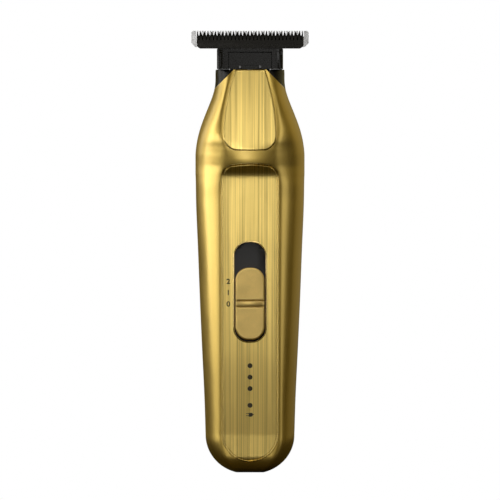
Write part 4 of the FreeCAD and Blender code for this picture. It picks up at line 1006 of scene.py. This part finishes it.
def make_neck_details():
    """A lip at the foot of the cutter, ribs on the blade block's face and the dark gasket below it."""
    lip_half, lip_low, lip_high = 12.3, BODY_TOP + 7.2, BODY_TOP + 7.96
    pieces = [box("lip", (-lip_half, -4.4, lip_low), (lip_half, -3.45, lip_high))]
    # inner and outer X, lowest and highest above the body, front and back from the block's face
    ribs = ((9.5, 9.9, 0.9, 6.2, -0.12, 0.6), (10.9, 11.3, 0.9, 6.2, 0.0, 0.7),
            (11.5, 12.3, 5.5, 7.1, 0.35, 1.5), (9.9, 11.2, 6.8, 7.05, -0.08, 0.6))
    for inner, outer, lowest, highest, front, back in ribs:
        low, high = BODY_TOP + lowest, BODY_TOP + highest
        side = [(block_front(low) + front, low), (block_front(low) + back, low),
                (block_front(high) + back, high), (block_front(high) + front, high)]
        for sign in (-1, 1):
            ends = [[(sign * x, y, z) for y, z in side] for x in (inner, outer)]
            pieces.append(prism("rib", *ends))
    details = join(pieces, "block_details")
    bevel(details, 0.06)
    details.data.materials.append(black_plastic)
    smooth(details, 30)
    finish_piece(details, "blade_block", "black_plastic")
    strip_inner, strip_outer = 7.7, 12.1
    strips = [box("strip", (low, -4.2, BODY_TOP - 0.1), (high, -3.4, BODY_TOP + 0.18))
              for low, high in ((-strip_outer, -strip_inner), (strip_inner, strip_outer))]
    gasket = join(strips, "neck_gasket")
    gasket.data.materials.append(rubber)
    smooth(gasket, 30)
    return finish_piece(gasket, "body", "seal_rubber")


# ---- printed marks -------------------------------------------------------------------------

PRINT_THICK = 0.012
PRINT_BOLD = 0.09
DIGITS = (("0", 63.2), ("1", 67.5), ("2", 71.7))
DIGIT_X = -8.15
DIGIT_SIZE = 2.7
PLUG_Z = 21.7


def make_digit(text, x, z, size):
    """A printed digit, made from Blender's own font."""
    curve = bpy.data.curves.new(f"digit_{text}", "FONT")
    curve.body = text
    curve.size = size * MM
    curve.align_x = "CENTER"
    curve.align_y = "CENTER"
    curve.offset = PRINT_BOLD * MM
    curve.extrude = PRINT_THICK * MM
    obj = bpy.data.objects.new(f"digit_{text}", curve)
    bpy.context.scene.collection.objects.link(obj)
    obj.location = (x * MM, (front_y(z) - PRINT_THICK) * MM, z * MM)
    obj.rotation_euler = (math.pi / 2, 0, 0)
    bpy.context.view_layer.update()
    mesh = bpy.data.meshes.new_from_object(
        obj.evaluated_get(bpy.context.evaluated_depsgraph_get()))
    mesh.transform(obj.matrix_world)
    bpy.data.objects.remove(obj)
    printed = bpy.data.objects.new(f"printed_digit_{text}", mesh)
    bpy.context.scene.collection.objects.link(printed)
    printed.data.materials.clear()
    printed.data.materials.append(print_ink)
    return finish_piece(printed, "body", "dark_plastic")


def make_plug_mark(z):
    """A plain plug sign: two prongs, a rounded body and a stub of cable."""
    near, far = front_y(z) - 0.02, front_y(z) + 0.02

    def patch(x0, x1, z0, z1):
        return box("patch", (x0, near, z + z0), (x1, far, z + z1))

    outline = [(-0.5, -0.8), (0.3, -0.8)] + arc(0.3, 0.0, 0.8, -90, 90, 10) + [(-0.5, 0.8)]
    body = prism("plug_body", *[[(x, y, z + rise) for x, rise in outline] for y in (near, far)])
    obj = join([body, patch(-1.5, -0.45, 0.28, 0.5), patch(-1.5, -0.45, -0.5, -0.28),
                patch(1.05, 1.55, -0.12, 0.12)], "plug_mark")
    obj.data.materials.append(print_ink)
    return finish_piece(obj, "body", "dark_plastic")


# ---- stage, light and camera ----------------------------------------------------------------

FLOOR_RADIUS = 6000
FLOOR_SIDES = 64
VIEW_WIDTH = 0.188
VIEW_CENTRE = 0.0836
CAMERA_AWAY = 1.2
LIGHT_AIM = (0, 0, 0.09)


def make_floor():
    """A pale floor for the camera, with a painted glow, that the metal mirrors as a dim one."""
    bm = bmesh.new()
    turns = [2 * math.pi * i / FLOOR_SIDES for i in range(FLOOR_SIDES)]
    bm.faces.new([bm.verts.new((FLOOR_RADIUS * math.cos(turn), FLOOR_RADIUS * math.sin(turn), 0))
                  for turn in turns])
    floor = make_object("floor", bm)
    m = Maker("pale_floor")
    slow = m.noise((3.0, 3.0, 3.0), 3.0)
    m.link(m.ramp(slow, ((0.3, (0.80, 0.80, 0.80)), (0.7, (0.84, 0.84, 0.835)))),
           m.shader.inputs["Base Color"])
    m.set(Roughness=0.6)
    # the floor glows for the camera: a faint painted light near the trimmer that lightens its shadows,
    # and a stronger one far from it, where the floor fades into a pale backdrop
    place = m.add("ShaderNodeNewGeometry")
    far = m.add("ShaderNodeVectorMath", operation="LENGTH")
    m.link(place.outputs["Position"], far.inputs[0])
    glow = m.spread(far.outputs["Value"], 0.2, 0.7, start=0.3, end=2.5)
    m.link(glow, m.shader.inputs["Emission Strength"])
    # the camera sees a pale floor, but the metal mirrors a dim one, as over a dark table
    dim = m.add("ShaderNodeBsdfDiffuse")
    dim.inputs["Color"].default_value = (0.06, 0.046, 0.008, 1)
    path = m.add("ShaderNodeLightPath")
    mix = m.add("ShaderNodeMixShader")
    m.link(path.outputs["Is Camera Ray"], mix.inputs["Fac"])
    m.link(dim.outputs["BSDF"], mix.inputs[1])
    m.link(m.shader.outputs["BSDF"], mix.inputs[2])
    m.link(mix.outputs["Shader"], m.tree.nodes["Material Output"].inputs["Surface"])
    floor.data.materials.append(m.material)


def softbox(name, azimuth, height, distance, width, tall, watts, colour=(1, 1, 1)):
    """An area light facing the trimmer. Azimuth 0 is the camera's side, 90 the right."""
    light = bpy.data.lights.new(name, "AREA")
    light.shape = "RECTANGLE"
    light.size, light.size_y = width, tall
    light.energy = watts
    light.color = colour
    obj = bpy.data.objects.new(name, light)
    bpy.context.scene.collection.objects.link(obj)
    turn = math.radians(azimuth)
    obj.location = (distance * math.sin(turn), -distance * math.cos(turn), height)
    aim = Vector(LIGHT_AIM) - obj.location
    obj.rotation_euler = aim.to_track_quat("-Z", "Y").to_euler()


def make_light():
    """Low boxes light the grip's left side and high ones the head; the world adds a dim warm glow."""
    softbox("key_front", -50, 0.13, 0.7, 0.28, 0.14, 0.3)
    softbox("key_low", -75, 0.13, 0.7, 0.28, 0.14, 0.42)
    softbox("key_side", -100, 0.125, 0.7, 0.28, 0.13, 0.42)
    softbox("key_middle", -100, 0.30, 0.7, 0.28, 0.18, 0.42)
    softbox("key_high", -95, 0.52, 0.7, 0.28, 0.24, 0.4)
    softbox("key_rear", -128, 0.40, 0.7, 0.25, 0.60, 0.5)
    softbox("front_high", -6, 0.50, 0.8, 0.3, 0.3, 0.5)
    softbox("front_middle", -8, 0.30, 0.85, 0.24, 0.2, 0.32)
    softbox("front_low", -6, 0.17, 0.9, 0.16, 0.14, 0.42)
    softbox("right_fill", 60, 0.25, 0.8, 0.5, 0.6, 0.8)
    softbox("top_fill", 25, 1.1, 0.65, 0.5, 0.5, 3.0)
    softbox("right_back", 140, 0.3, 0.8, 0.8, 0.6, 0.35, (1, 0.88, 0.5))
    world = bpy.data.worlds.new("studio")
    world.use_nodes = True
    tree = world.node_tree
    background = tree.nodes["Background"]
    background.inputs["Color"].default_value = (1.0, 0.77, 0.10, 1)
    background.inputs["Strength"].default_value = 0.1
    seen = tree.nodes.new("ShaderNodeBackground")
    seen.inputs["Color"].default_value = (1, 1, 1, 1)
    seen.inputs["Strength"].default_value = 1.0
    path = tree.nodes.new("ShaderNodeLightPath")
    mix = tree.nodes.new("ShaderNodeMixShader")
    tree.links.new(path.outputs["Is Camera Ray"], mix.inputs["Fac"])
    tree.links.new(background.outputs["Background"], mix.inputs[1])
    tree.links.new(seen.outputs["Background"], mix.inputs[2])
    tree.links.new(mix.outputs["Shader"], tree.nodes["World Output"].inputs["Surface"])
    bpy.context.scene.world = world
    bpy.context.scene.view_settings.view_transform = "Standard"


def make_camera():
    """A flat front view, centred half-way up the trimmer."""
    camera = bpy.data.cameras.new("camera")
    camera.type = "ORTHO"
    camera.ortho_scale = VIEW_WIDTH
    obj = bpy.data.objects.new("camera", camera)
    bpy.context.scene.collection.objects.link(obj)
    obj.location = (0, -CAMERA_AWAY, VIEW_CENTRE)
    obj.rotation_euler = (math.pi / 2, 0, 0)
    bpy.context.scene.camera = obj


make_front_housing()
make_rear_housing()
make_seam_tongue()
make_panel()
make_slot_edge()
make_plate()
make_knob()
make_ridge()
for text, height in DIGITS:
    make_digit(text, DIGIT_X, height, DIGIT_SIZE)
make_plug_mark(PLUG_Z)
make_cutter()
make_neck_details()
make_floor()
make_light()
make_camera()
